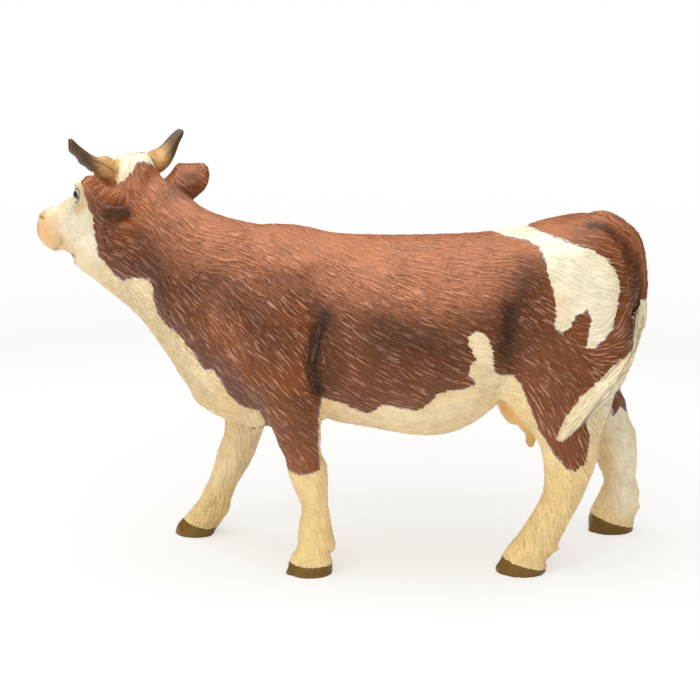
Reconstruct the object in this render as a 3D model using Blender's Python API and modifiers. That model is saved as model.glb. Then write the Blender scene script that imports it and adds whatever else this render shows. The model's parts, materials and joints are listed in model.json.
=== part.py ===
"""Standing toy cow, a moulded and painted vinyl farm animal about 14 cm long.

The figure is glued up from separate mouldings: a torso, a head with its neck, two horns, two ears,
four legs, a tail and an udder. The torso, neck, head and legs swell into one another, so they are
first melted into one skin, which is then parted along the seams: by a leaning plane at the neck, and
by a sleeve round the top of each leg. The head and the legs plug into the torso with pegs, and the
horns, ears, tail and udder sit in sockets of their own shape. Lengths are in metres. The cow faces
-X, its left side faces -Y, and +Z is up.
"""

import math

import bmesh
import bpy
from mathutils import Matrix, Vector

# Torso
BACK_HEIGHT = 0.0760
TORSO_LENGTH = 0.1060
BARREL_DEPTH = 0.0466
BARREL_HALF_WIDTH = 0.0215
TORSO_AHEAD_SHARE = 0.3585
# Place along the torso, crest above the back, keel above the barrel's lowest level, half width,
# level of the widest point, and how boxy the upper half is
TORSO_SECTION_SHARES = (
    (0.000, -0.390, 0.330, 0.26, 0.50, 1.00),
    (0.045, -0.150, 0.150, 0.48, 0.48, 1.00),
    (0.113, 0.000, 0.060, 0.66, 0.46, 0.95),
    (0.189, 0.062, 0.020, 0.78, 0.45, 0.88),
    (0.264, 0.058, 0.020, 0.83, 0.45, 0.86),
    (0.340, 0.018, 0.062, 0.87, 0.44, 0.92),
    (0.434, 0.004, 0.032, 0.95, 0.42, 1.00),
    (0.528, 0.004, 0.000, 1.00, 0.40, 1.02),
    (0.604, 0.008, 0.020, 0.98, 0.42, 1.05),
    (0.670, 0.014, 0.105, 0.92, 0.46, 1.12),
    (0.736, 0.042, 0.250, 0.88, 0.54, 1.22),
    (0.811, 0.083, 0.340, 0.80, 0.55, 1.16),
    (0.887, 0.114, 0.420, 0.66, 0.52, 1.05),
    (0.943, 0.066, 0.520, 0.50, 0.50, 1.00),
    (0.981, -0.050, 0.600, 0.34, 0.50, 1.00),
    (1.000, -0.180, 0.680, 0.18, 0.50, 1.00),
)

# Neck, whose sections run from the crest to the throat
NECK_REACH = 0.0480
NECK_CREST_RISE = 0.0150
NECK_THROAT_RISE = 0.0330
NECK_HALF_WIDTH = 0.0150
NECK_SWAY = 0.0100
# Places of the neck's first crest and throat along the torso, and their levels on the barrel
NECK_CREST_SHARES = (0.377, 0.968)
NECK_THROAT_SHARES = (0.245, 0.034)
# Crest reach and rise, throat reach and rise, sideways sway, half width
NECK_SECTION_SHARES = (
    (0.00, 0.00, 0.00, 0.00, 0.00, 0.95),
    (0.30, 0.20, 0.30, 0.03, 0.00, 0.98),
    (0.53, 0.33, 0.49, 0.26, 0.08, 0.84),
    (0.69, 0.47, 0.61, 0.52, 0.26, 0.72),
    (0.80, 0.69, 0.745, 0.76, 0.54, 0.64),
    (0.88, 0.84, 0.90, 0.93, 0.82, 0.58),
    (0.93, 0.90, 1.03, 1.07, 1.05, 0.46),
)
NECK_ROUND_END_SHARES = (0.96, 0.84, 1.08, 1.22, 1.16, 0.22)

# Head, in its own frame: the poll is the origin, -X points along the face and +Z out of the brow
HEAD_LENGTH = 0.0358
HEAD_DEPTH = 0.0178
HEAD_HALF_WIDTH = 0.0084
HEAD_SET_AHEAD = 0.0052
HEAD_SET_ASIDE = 0.0004
HEAD_SET_ABOVE = 0.0010
HEAD_TURN = math.radians(-42.0)
HEAD_NOD = math.radians(-17.0)
HEAD_ROLL = math.radians(-3.0)
# Place along the face, brow line, jaw line, half width, level of the widest point
HEAD_SECTION_SHARES = (
    (-0.12, -0.02, -0.50, 0.42, 0.55),
    (-0.03, 0.11, -0.76, 0.76, 0.62),
    (0.08, 0.15, -1.00, 0.88, 0.64),
    (0.20, 0.14, -1.12, 0.98, 0.66),
    (0.32, 0.09, -1.14, 0.98, 0.66),
    (0.46, 0.00, -1.13, 0.82, 0.64),
    (0.62, -0.08, -1.02, 0.66, 0.60),
    (0.76, -0.12, -0.90, 0.60, 0.54),
    (0.87, -0.15, -0.82, 0.64, 0.52),
    (0.95, -0.21, -0.73, 0.58, 0.54),
    (1.00, -0.31, -0.58, 0.36, 0.52),
)
POLL_TUFT_SHARES = (0.010, 0.0, -0.010)
POLL_TUFT_LENGTH = 0.0044
POLL_TUFT_HALF_WIDTH = 0.0062
POLL_TUFT_HEIGHT = 0.0047
BROW_SHARES = (0.300, 0.80, -0.13)
BROW_LENGTH = 0.0036
BROW_HALF_WIDTH = 0.0026
BROW_HEIGHT = 0.0028

# Horns, in the head's frame, from the root inside the skull to the tip
HORN_SPREAD = 0.0123
HORN_RISE = 0.0082
HORN_SWEEP = 0.0006
HORN_ROOT_RADIUS = 0.0024
HORN_ROOT_SHARES = (0.052, 0.58, 0.06)
# Outward, upward and forward travel, and girth
HORN_SECTION_SHARES = (
    (0.00, 0.00, 0.00, 0.96),
    (0.22, 0.03, 0.40, 1.02),
    (0.45, 0.15, 0.80, 0.96),
    (0.66, 0.38, 1.00, 0.84),
    (0.84, 0.66, 1.00, 0.66),
    (0.96, 0.90, 0.80, 0.46),
    (1.00, 1.00, 0.70, 0.26),
)

# Ears, in the head's frame, from the root inside the skull to the tip
EAR_LENGTH = 0.0142
EAR_HALF_WIDTH = 0.0047
EAR_HALF_THICKNESS = 0.0010
EAR_CUP_DEPTH = 0.0022
EAR_ROOT_SHARES = (0.015, 0.66, -0.34)
LEFT_EAR_LIFT = math.radians(22.0)
LEFT_EAR_SWEEP = math.radians(-10.0)
RIGHT_EAR_LIFT = math.radians(21.0)
RIGHT_EAR_SWEEP = math.radians(-24.0)
EAR_ROLL = math.radians(38.0)
# Place along the blade, half width, thickness, cupping
EAR_SECTION_SHARES = (
    (0.00, 0.42, 1.60, 0.10),
    (0.14, 0.46, 1.60, 0.20),
    (0.30, 0.76, 1.20, 0.60),
    (0.50, 1.00, 1.00, 1.00),
    (0.70, 0.98, 0.95, 1.00),
    (0.87, 0.74, 0.90, 0.70),
    (0.97, 0.40, 0.80, 0.25),
    (1.00, 0.16, 0.60, 0.00),
)

# Front legs, each from inside the shoulder to just below the ground
FRONT_LEG_HEIGHT = 0.0400
FRONT_LEG_HALF_DEPTH = 0.0070
FRONT_LEG_HALF_WIDTH = 0.0062
FRONT_LEG_PLACE_SHARE = 0.249
FRONT_TRACK_SHARE = 0.660
# Half depth, half width and sideways place of each station, from the shoulder blade to the sole
FRONT_GIRTH_SHARES = (
    (0.90, 0.75, 0.52),
    (1.55, 1.10, 0.72),
    (1.80, 1.18, 0.84),
    (1.50, 1.10, 0.92),
    (1.02, 1.00, 0.96),
    (0.74, 0.84, 0.98),
    (0.70, 0.78, 0.99),
    (0.62, 0.70, 1.00),
    (0.52, 0.58, 1.00),
    (0.56, 0.61, 1.00),
    (0.65, 0.73, 1.01),
    (0.70, 0.78, 1.02),
    (0.76, 0.84, 1.02),
    (0.76, 0.84, 1.02),
)
# Height and travel along X of each station, both as shares of the leg's height
FRONT_LEFT_PATH_SHARES = (
    (1.82, 0.00),
    (1.58, -0.04),
    (1.32, -0.06),
    (1.12, -0.04),
    (1.00, 0.00),
    (0.79, 0.04),
    (0.65, 0.08),
    (0.54, 0.10),
    (0.40, 0.12),
    (0.27, 0.13),
    (0.17, 0.13),
    (0.09, 0.11),
    (0.04, 0.10),
    (-0.06, 0.10),
)
FRONT_RIGHT_PATH_SHARES = (
    (1.82, 0.00),
    (1.58, -0.04),
    (1.32, -0.08),
    (1.10, -0.14),
    (0.92, -0.22),
    (0.72, -0.29),
    (0.56, -0.34),
    (0.43, -0.38),
    (0.30, -0.44),
    (0.21, -0.48),
    (0.14, -0.52),
    (0.08, -0.56),
    (0.04, -0.59),
    (-0.06, -0.61),
)

# Rear legs, each from inside the hip to just below the ground
REAR_LEG_HEIGHT = 0.0410
REAR_LEG_HALF_DEPTH = 0.0128
REAR_LEG_HALF_WIDTH = 0.0068
REAR_LEG_PLACE_SHARE = 0.8208
REAR_LEFT_TRACK_SHARE = 0.651
REAR_RIGHT_TRACK_SHARE = 0.763
# Half depth, half width and sideways place of each station, from the hip to the sole
REAR_GIRTH_SHARES = (
    (0.78, 0.90, 0.62),
    (1.12, 1.12, 0.70),
    (1.24, 1.18, 0.74),
    (1.18, 1.12, 0.80),
    (1.00, 1.00, 0.90),
    (0.77, 0.90, 0.94),
    (0.56, 0.76, 0.98),
    (0.51, 0.68, 1.00),
    (0.43, 0.60, 1.00),
    (0.38, 0.54, 1.00),
    (0.39, 0.52, 1.00),
    (0.41, 0.56, 1.00),
    (0.44, 0.66, 1.00),
    (0.44, 0.74, 1.00),
    (0.42, 0.74, 1.00),
)
REAR_LEFT_PATH_SHARES = (
    (1.84, -0.06),
    (1.64, 0.01),
    (1.40, 0.03),
    (1.18, 0.02),
    (1.00, 0.00),
    (0.88, 0.03),
    (0.76, 0.06),
    (0.67, 0.07),
    (0.56, 0.06),
    (0.44, 0.03),
    (0.32, -0.03),
    (0.21, -0.09),
    (0.12, -0.15),
    (0.05, -0.18),
    (-0.06, -0.19),
)
REAR_RIGHT_PATH_SHARES = (
    (1.84, -0.06),
    (1.64, 0.01),
    (1.40, 0.05),
    (1.18, 0.09),
    (0.98, 0.145),
    (0.84, 0.215),
    (0.70, 0.30),
    (0.60, 0.365),
    (0.48, 0.40),
    (0.37, 0.43),
    (0.28, 0.445),
    (0.20, 0.43),
    (0.12, 0.40),
    (0.05, 0.39),
    (-0.06, 0.39),
)

# Dewclaws, two behind each fetlock
DEWCLAW_HALF_DEPTH = 0.0015
DEWCLAW_HALF_WIDTH = 0.0012
DEWCLAW_HALF_HEIGHT = 0.0016
DEWCLAW_HALF_SPACING = 0.0019
DEWCLAW_HEIGHT = 0.0062
DEWCLAW_SINK = 0.0008

# Cleft that parts the two claws of a hoof at its front
CLEFT_HALF_WIDTH = 0.0006
CLEFT_HEIGHT = 0.0042

# Tail, which arches over the rump and lays its tuft on the left thigh
TAIL_SET_BACK = 0.0140
TAIL_DROP = 0.0460
TAIL_SWING = 0.0200
TAIL_HALF_WIDTH = 0.0022
TAIL_HALF_DEPTH = 0.0015
TAIL_FLAT_WAY = Vector((0.3, -1.0, 0.0))
# Place of the root along the torso and its level on the barrel
TAIL_ROOT_SHARES = (0.887, 1.064)
# Travel backwards, drop, swing to the left, half width and half depth
TAIL_SECTION_SHARES = (
    (-0.140, 0.043, 0.000, 0.73, 1.00),
    (0.107, -0.030, 0.000, 0.73, 1.00),
    (0.371, -0.024, 0.000, 0.68, 0.93),
    (0.621, 0.030, 0.000, 0.60, 0.87),
    (0.800, 0.104, 0.000, 0.54, 0.80),
    (0.905, 0.190, 0.000, 0.50, 0.74),
    (0.936, 0.304, 0.000, 0.48, 0.72),
    (0.920, 0.413, 0.020, 0.48, 0.72),
    (0.855, 0.500, 0.140, 0.52, 0.74),
    (0.715, 0.574, 0.425, 0.64, 0.80),
    (0.510, 0.654, 0.760, 0.86, 0.87),
    (0.270, 0.741, 0.900, 1.00, 0.87),
    (-0.057, 0.824, 0.975, 1.00, 0.87),
    (-0.314, 0.913, 1.005, 0.73, 0.73),
    (-0.507, 1.000, 0.990, 0.20, 0.27),
)

# Udder and its teats
UDDER_HALF_LENGTH = 0.0106
UDDER_HALF_WIDTH = 0.0068
UDDER_HALF_DEPTH = 0.0090
UDDER_SHARES = (0.793, 0.176)
TEAT_RADIUS = 0.0014
TEAT_LENGTH = 0.0044
TEAT_DROP_SHARE = 0.94
# Places of the teats along and across the udder
TEAT_SHARES = ((-0.22, -0.44), (-0.22, 0.44), (0.32, -0.44), (0.32, 0.44))

# Seams and pegs: the gap that glue fills between two mouldings, how far a cutter reaches past the
# figure, and how the pegs are sized
SEAM_GAP = 0.0003
SEAM_REACH = 0.1200
# Place of the neck seam's middle along the torso, and its level on the barrel
NECK_SEAM_SHARES = (0.111, 0.700)
NECK_SEAM_LEAN = math.radians(37.0)
NECK_PEG_RADIUS = 0.0050
NECK_PEG_LENGTH = 0.0070
LEG_PEG_RADIUS = 0.0026
LEG_PEG_LENGTH = 0.0060
PEG_ROOT = 0.0020
# Levels of the leg seams on each leg's height, girth of the sleeve that parts a leg from the torso,
# and the level on the barrel below which all that stands on one side is leg
FRONT_SEAM_SHARE = 1.04
REAR_SEAM_SHARE = 1.00
SLEEVE_SHARE = 1.20
FREE_LEG_SHARE = -0.04

# How finely the forms are skinned
RING_POINTS = 28
RINGS_PER_SECTION = 4
SMALL_RING_POINTS = 12
SMALL_RINGS_PER_SECTION = 2
SKIN_GRID = 0.0009
SKIN_SMOOTHING = 6
SMOOTHING_FACTOR = 0.5
SKIN_SHARE_KEPT = 0.068
UDDER_GRID = 0.0006
UDDER_SMOOTHING = 4
UDDER_SHARE_KEPT = 0.07
BALL_STEPS = 16
BALL_RINGS = 8
PEG_STEPS = 16

BROWN = (0.250, 0.085, 0.040, 1.0)
CREAM = (0.800, 0.610, 0.330, 1.0)
HORN_TAN = (0.560, 0.350, 0.150, 1.0)
UDDER_PINK = (0.700, 0.440, 0.180, 1.0)
PAINT_ROUGHNESS = 0.55


def clear_scene():
    for old in list(bpy.data.objects):
        bpy.data.objects.remove(old)


def new_collection(name):
    made = bpy.data.collections.new(name)
    bpy.context.scene.collection.children.link(made)
    return made


def material(name, colour):
    made = bpy.data.materials.new(name)
    made.use_nodes = True
    shader = made.node_tree.nodes["Principled BSDF"]
    shader.inputs["Base Color"].default_value = colour
    shader.inputs["Roughness"].default_value = PAINT_ROUGHNESS
    shader.inputs["Metallic"].default_value = 0.0
    return made


def along_torso(share):
    return (share - TORSO_AHEAD_SHARE) * TORSO_LENGTH


def barrel_level(share):
    return BACK_HEIGHT - BARREL_DEPTH + share * BARREL_DEPTH


def torso_point(shares):
    """A point on the middle plane, from its place along the torso and its level on the barrel."""
    return Vector((along_torso(shares[0]), 0, barrel_level(shares[1])))


def smooth_rows(rows, steps):
    """Rows of numbers with Catmull-Rom rows set between them, so that a form swells evenly."""
    smooth = []
    last = len(rows) - 1
    for index in range(last):
        before = rows[max(index - 1, 0)]
        after = rows[min(index + 2, last)]
        for step in range(steps):
            t = step / steps
            row = []
            for a, b, c, d in zip(before, rows[index], rows[index + 1], after):
                bend = (2 * a - 5 * b + 4 * c - d) * t * t + (3 * b - a - 3 * c + d) * t * t * t
                row.append((2 * b + (c - a) * t + bend) / 2)
            smooth.append(row)
    smooth.append(list(rows[-1]))
    return smooth


def oval(centre, side, up, sizes, points=RING_POINTS, boxiness=1.0, cup=0.0):
    """One ring. Sizes are its half width, rise and fall, and cup bends its sides down."""
    half_width, rise, fall = sizes
    ring = []
    for index in range(points):
        angle = 2 * math.pi * index / points
        across = math.cos(angle)
        height = math.sin(angle)
        if height > 0:
            across = math.copysign(abs(across) ** (1 / boxiness), across)
            height = rise * height ** (1 / boxiness)
        else:
            height = fall * height
        ring.append(centre + side * (half_width * across) + up * (height - cup * across * across))
    return ring


def swept_rings(path, sizes, depth_way, cups=None):
    """Rings square to a path. Sizes are half width and half depth, depth lying along depth_way."""
    rings = []
    for index, centre in enumerate(path):
        ahead = path[min(index + 1, len(path) - 1)] - path[max(index - 1, 0)]
        side = ahead.cross(depth_way).normalized()
        up = side.cross(ahead).normalized()
        half_width, half_depth = sizes[index]
        ring_sizes = (half_width, half_depth, half_depth)
        cup = cups[index] if cups else 0
        rings.append(oval(centre, side, up, ring_sizes, points=SMALL_RING_POINTS, cup=cup))
    return rings


def add_loft(mesh, rings):
    """Skins a row of rings and closes both ends with a fan about their middles."""
    rows = [[mesh.verts.new(point) for point in ring] for ring in rings]
    count = len(rows[0])
    for row, following in zip(rows, rows[1:]):
        for index in range(count):
            beside = (index + 1) % count
            mesh.faces.new((row[index], row[beside], following[beside], following[index]))
    for row in (rows[0], rows[-1]):
        middle = mesh.verts.new(sum((vert.co for vert in row), Vector()) / count)
        for index in range(count):
            mesh.faces.new((row[index], row[(index + 1) % count], middle))


def add_ball(mesh, radii, matrix):
    """An ellipsoid of these three radii."""
    stretch = Matrix.Diagonal((*radii, 1.0))
    bmesh.ops.create_uvsphere(
        mesh,
        u_segments=BALL_STEPS,
        v_segments=BALL_RINGS,
        radius=1,
        matrix=matrix @ stretch,
    )


def add_box(mesh, low, high, matrix=None):
    """A box between two corners."""
    middle = (low + high) / 2
    place = Matrix.Translation(middle) @ Matrix.Diagonal((*(high - low), 1.0))
    bmesh.ops.create_cube(mesh, size=1, matrix=(matrix or Matrix()) @ place)


def add_rod(mesh, radius, length, matrix):
    """A round rod that stands on its matrix's origin and runs along its +Z."""
    bmesh.ops.create_cone(
        mesh,
        cap_ends=True,
        segments=PEG_STEPS,
        radius1=radius,
        radius2=radius,
        depth=length,
        matrix=matrix @ Matrix.Translation(Vector((0, 0, length / 2))),
    )


def mesh_object(name, mesh, collection):
    """Turns a finished bmesh, its faces pointing out, into an object."""
    bmesh.ops.recalc_face_normals(mesh, faces=mesh.faces)
    data = bpy.data.meshes.new(name)
    mesh.to_mesh(data)
    mesh.free()
    made = bpy.data.objects.new(name, data)
    collection.objects.link(made)
    return made


def helper_object(name, mesh, helpers):
    made = mesh_object(name, mesh, helpers)
    made.hide_render = True
    made.display_type = "WIRE"
    return made


def melt(obj, grid, smoothing, share_kept):
    """Melts overlapping forms into one skin, evens it out and thins its mesh."""
    remesh = obj.modifiers.new("melt", "REMESH")
    remesh.mode = "VOXEL"
    remesh.voxel_size = grid
    even = obj.modifiers.new("even", "SMOOTH")
    even.factor = SMOOTHING_FACTOR
    even.iterations = smoothing
    thin = obj.modifiers.new("thin", "DECIMATE")
    thin.ratio = share_kept


def baked(obj):
    """The object's mesh with its modifiers worked in."""
    bpy.context.view_layer.update()
    graph = bpy.context.evaluated_depsgraph_get()
    return bpy.data.meshes.new_from_object(obj.evaluated_get(graph))


def combine(obj, operation, other):
    """A Boolean with the manifold solver, because the exact one loses a leg of this skin."""
    boolean = obj.modifiers.new(operation.lower() + " " + other.name, "BOOLEAN")
    boolean.operation = operation
    boolean.solver = "MANIFOLD"
    boolean.object = other


def grown(obj, helpers):
    """A helper copy that is larger all round by the seam gap, to cut a socket with."""
    copy = bpy.data.objects.new(obj.name + "_socket", baked(obj))
    helpers.objects.link(copy)
    copy.hide_render = True
    copy.display_type = "WIRE"
    swell = copy.modifiers.new("swell", "DISPLACE")
    swell.strength = SEAM_GAP
    swell.mid_level = 0
    return copy


def torso_rings():
    rings = []
    for place, crest, keel, width, widest, boxiness in smooth_rows(
        TORSO_SECTION_SHARES, RINGS_PER_SECTION
    ):
        top = BACK_HEIGHT + crest * BARREL_DEPTH
        bottom = barrel_level(keel)
        level = bottom + widest * (top - bottom)
        centre = Vector((along_torso(place), 0, level))
        sizes = (width * BARREL_HALF_WIDTH, top - level, level - bottom)
        rings.append(oval(centre, Vector((0, 1, 0)), Vector((0, 0, 1)), sizes, boxiness=boxiness))
    return rings


def neck_crest(reach, rise, sway):
    travel = Vector((-reach * NECK_REACH, sway * NECK_SWAY, rise * NECK_CREST_RISE))
    return torso_point(NECK_CREST_SHARES) + travel


def neck_throat(reach, rise, sway):
    travel = Vector((-reach * NECK_REACH, sway * NECK_SWAY, rise * NECK_THROAT_RISE))
    return torso_point(NECK_THROAT_SHARES) + travel


def neck_rings():
    rings = []
    rows = smooth_rows(NECK_SECTION_SHARES + (NECK_ROUND_END_SHARES,), RINGS_PER_SECTION)
    for crest_reach, crest_rise, throat_reach, throat_rise, sway, width in rows:
        crest = neck_crest(crest_reach, crest_rise, sway)
        throat = neck_throat(throat_reach, throat_rise, sway)
        half = (crest - throat) / 2
        sizes = (width * NECK_HALF_WIDTH, half.length, half.length)
        rings.append(oval(throat + half, Vector((0, 1, 0)), half.normalized(), sizes))
    return rings


def head_matrix():
    """The head's frame, set at the end of the neck's crest."""
    reach, rise, _, _, sway, _ = NECK_SECTION_SHARES[-1]
    setting = Vector((-HEAD_SET_AHEAD, HEAD_SET_ASIDE, HEAD_SET_ABOVE))
    place = Matrix.Translation(neck_crest(reach, rise, sway) + setting)
    turn = Matrix.Rotation(HEAD_TURN, 4, "Z")
    nod = Matrix.Rotation(HEAD_NOD, 4, "Y")
    roll = Matrix.Rotation(HEAD_ROLL, 4, "X")
    return place @ turn @ nod @ roll


def head_point(shares, side=1):
    """A point from its shares of the head's length, half width and depth."""
    along, across, up = shares
    return Vector((-along * HEAD_LENGTH, side * across * HEAD_HALF_WIDTH, up * HEAD_DEPTH))


def head_rings():
    rings = []
    for place, brow, jaw, width, widest in smooth_rows(HEAD_SECTION_SHARES, RINGS_PER_SECTION):
        top = brow * HEAD_DEPTH
        bottom = jaw * HEAD_DEPTH
        level = bottom + widest * (top - bottom)
        centre = Vector((-place * HEAD_LENGTH, 0, level))
        sizes = (width * HEAD_HALF_WIDTH, top - level, level - bottom)
        ring = oval(centre, Vector((0, 1, 0)), Vector((0, 0, 1)), sizes)
        rings.append([head_matrix() @ point for point in ring])
    return rings


def leg_settings():
    """What sets the four legs apart. A track below zero puts a leg on the left side."""
    front_place = along_torso(FRONT_LEG_PLACE_SHARE)
    rear_place = along_torso(REAR_LEG_PLACE_SHARE)
    midway = (front_place + rear_place) / 2
    front = {
        "girth": FRONT_GIRTH_SHARES,
        "height": FRONT_LEG_HEIGHT,
        "half_depth": FRONT_LEG_HALF_DEPTH,
        "half_width": FRONT_LEG_HALF_WIDTH,
        "place": front_place,
        "free_span": (-SEAM_REACH, midway),
        "seam": FRONT_SEAM_SHARE * FRONT_LEG_HEIGHT,
    }
    rear = {
        "girth": REAR_GIRTH_SHARES,
        "height": REAR_LEG_HEIGHT,
        "half_depth": REAR_LEG_HALF_DEPTH,
        "half_width": REAR_LEG_HALF_WIDTH,
        "place": rear_place,
        "free_span": (midway, SEAM_REACH),
        "seam": REAR_SEAM_SHARE * REAR_LEG_HEIGHT,
    }
    front_track = FRONT_TRACK_SHARE * BARREL_HALF_WIDTH
    rear_left_track = REAR_LEFT_TRACK_SHARE * BARREL_HALF_WIDTH
    rear_right_track = REAR_RIGHT_TRACK_SHARE * BARREL_HALF_WIDTH
    return {
        "front_left_leg": {**front, "path": FRONT_LEFT_PATH_SHARES, "track": -front_track},
        "front_right_leg": {**front, "path": FRONT_RIGHT_PATH_SHARES, "track": front_track},
        "rear_left_leg": {**rear, "path": REAR_LEFT_PATH_SHARES, "track": -rear_left_track},
        "rear_right_leg": {**rear, "path": REAR_RIGHT_PATH_SHARES, "track": rear_right_track},
    }


def leg_rows(leg):
    """Level, place along X, half depth, half width and sideways place of a leg's smooth stations."""
    stations = [path + girth for path, girth in zip(leg["path"], leg["girth"])]
    rows = []
    for level, travel, depth, width, spread in smooth_rows(stations, RINGS_PER_SECTION):
        rows.append(
            (
                level * leg["height"],
                leg["place"] + travel * leg["height"],
                depth * leg["half_depth"],
                width * leg["half_width"],
                spread * leg["track"],
            )
        )
    return rows


def leg_row_at(leg, level):
    """The leg's row nearest to a level above the ground."""
    return min(leg_rows(leg), key=lambda row: abs(row[0] - level))


def leg_rings(leg):
    rings = []
    for level, along, half_depth, half_width, aside in leg_rows(leg):
        centre = Vector((along, aside, level))
        sizes = (half_width, half_depth, half_depth)
        rings.append(oval(centre, Vector((0, 1, 0)), Vector((1, 0, 0)), sizes))
    return rings


def add_dewclaws(mesh, leg):
    _, along, half_depth, _, aside = leg_row_at(leg, DEWCLAW_HEIGHT)
    back = along + half_depth - DEWCLAW_SINK
    radii = (DEWCLAW_HALF_DEPTH, DEWCLAW_HALF_WIDTH, DEWCLAW_HALF_HEIGHT)
    for side in (-1, 1):
        spread = side * DEWCLAW_HALF_SPACING
        place = Vector((back, aside + spread, DEWCLAW_HEIGHT))
        add_ball(mesh, radii, Matrix.Translation(place))


def figure_skin(helpers):
    """Torso, neck, head and legs melted into one skin."""
    mesh = bmesh.new()
    add_loft(mesh, torso_rings())
    add_loft(mesh, neck_rings())
    add_loft(mesh, head_rings())
    tuft_radii = (POLL_TUFT_LENGTH, POLL_TUFT_HALF_WIDTH, POLL_TUFT_HEIGHT)
    add_ball(mesh, tuft_radii, head_matrix() @ Matrix.Translation(head_point(POLL_TUFT_SHARES)))
    brow_radii = (BROW_LENGTH, BROW_HALF_WIDTH, BROW_HEIGHT)
    for side in (-1, 1):
        brow = Matrix.Translation(head_point(BROW_SHARES, side))
        add_ball(mesh, brow_radii, head_matrix() @ brow)
    for leg in leg_settings().values():
        add_loft(mesh, leg_rings(leg))
        add_dewclaws(mesh, leg)
    form = helper_object("figure_skin", mesh, helpers)
    melt(form, SKIN_GRID, SKIN_SMOOTHING, SKIN_SHARE_KEPT)
    combine(form, "DIFFERENCE", ground_block(helpers))
    return baked(form)


def ground_block(helpers):
    """Everything below the ground, which leaves each hoof a flat sole."""
    mesh = bmesh.new()
    low = Vector((-SEAM_REACH, -SEAM_REACH, -SEAM_REACH))
    add_box(mesh, low, Vector((SEAM_REACH, SEAM_REACH, 0)))
    return helper_object("ground_block", mesh, helpers)


def piece_of_skin(name, skin, parts, finish):
    """A node that starts as the whole skin, which its modifiers then cut."""
    made = bpy.data.objects.new(name, skin.copy())
    parts.objects.link(made)
    made.data.materials.clear()
    made.data.materials.append(finish)
    return made


def neck_seam_matrix():
    """The neck seam's frame: -X points to the head, square to the seam, and +Z up along it."""
    place = Matrix.Translation(torso_point(NECK_SEAM_SHARES))
    return place @ Matrix.Rotation(NECK_SEAM_LEAN, 4, "Y")


def neck_block(name, growth, helpers):
    """Everything ahead of the neck seam."""
    mesh = bmesh.new()
    low = Vector((-SEAM_REACH, -SEAM_REACH, -SEAM_REACH))
    high = Vector((growth, SEAM_REACH, SEAM_REACH))
    add_box(mesh, low, high, neck_seam_matrix())
    return helper_object(name, mesh, helpers)


def neck_peg(name, growth, helpers):
    mesh = bmesh.new()
    start = Matrix.Translation(Vector((-PEG_ROOT, 0, 0)))
    lie_down = Matrix.Rotation(math.radians(90), 4, "Y")
    length = PEG_ROOT + NECK_PEG_LENGTH + growth
    add_rod(mesh, NECK_PEG_RADIUS + growth, length, neck_seam_matrix() @ start @ lie_down)
    return helper_object(name, mesh, helpers)


def leg_sleeve(name, leg, growth, helpers):
    """A sleeve round the leg up to its seam, and a block for the free leg below the belly."""
    rings = []
    for level, along, half_depth, half_width, aside in leg_rows(leg):
        if level > leg["seam"]:
            continue
        centre = Vector((along, aside, level))
        depth = SLEEVE_SHARE * half_depth + growth
        width = SLEEVE_SHARE * half_width + growth
        rings.append(oval(centre, Vector((0, 1, 0)), Vector((1, 0, 0)), (width, depth, depth)))
    rise = Vector((0, 0, leg["seam"] + growth - rings[0][0].z))
    rings.insert(0, [point + rise for point in rings[0]])
    mesh = bmesh.new()
    add_loft(mesh, rings)
    sleeve = helper_object(name + "_round", mesh, helpers)

    block = bmesh.new()
    start, end = leg["free_span"]
    left, right = sorted((0, math.copysign(SEAM_REACH, leg["track"])))
    top = barrel_level(FREE_LEG_SHARE) + growth
    add_box(block, Vector((start, left, -SEAM_REACH)), Vector((end, right, top)))
    cutter = helper_object(name, block, helpers)
    combine(cutter, "UNION", sleeve)
    return cutter


def leg_peg(name, leg, growth, helpers):
    _, along, _, _, aside = leg_row_at(leg, leg["seam"])
    mesh = bmesh.new()
    start = Matrix.Translation(Vector((along, aside, leg["seam"] - PEG_ROOT)))
    add_rod(mesh, LEG_PEG_RADIUS + growth, PEG_ROOT + LEG_PEG_LENGTH + growth, start)
    return helper_object(name, mesh, helpers)


def cleft_cutter(name, leg, helpers):
    """A four-sided rod that stands on its edge in the front of the hoof."""
    _, along, half_depth, _, aside = leg_row_at(leg, CLEFT_HEIGHT / 2)
    mesh = bmesh.new()
    place = Matrix.Translation(Vector((along - half_depth, aside, 0)))
    turn = Matrix.Rotation(math.radians(45), 4, "Z")
    reach = CLEFT_HALF_WIDTH * 2
    low = Vector((-reach / 2, -reach / 2, -reach))
    high = Vector((reach / 2, reach / 2, CLEFT_HEIGHT))
    add_box(mesh, low, high, place @ turn)
    return helper_object(name, mesh, helpers)


def horn_object(name, side, parts, finish):
    root = head_point(HORN_ROOT_SHARES, side)
    path = []
    sizes = []
    for out, rise, sweep, girth in smooth_rows(HORN_SECTION_SHARES, SMALL_RINGS_PER_SECTION):
        travel = Vector((-sweep * HORN_SWEEP, side * out * HORN_SPREAD, rise * HORN_RISE))
        path.append(head_matrix() @ (root + travel))
        sizes.append((girth * HORN_ROOT_RADIUS, girth * HORN_ROOT_RADIUS))
    mesh = bmesh.new()
    add_loft(mesh, swept_rings(path, sizes, head_matrix().to_3x3() @ Vector((1, 0, 0))))
    horn = mesh_object(name, mesh, parts)
    horn.data.materials.append(finish)
    return horn


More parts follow.
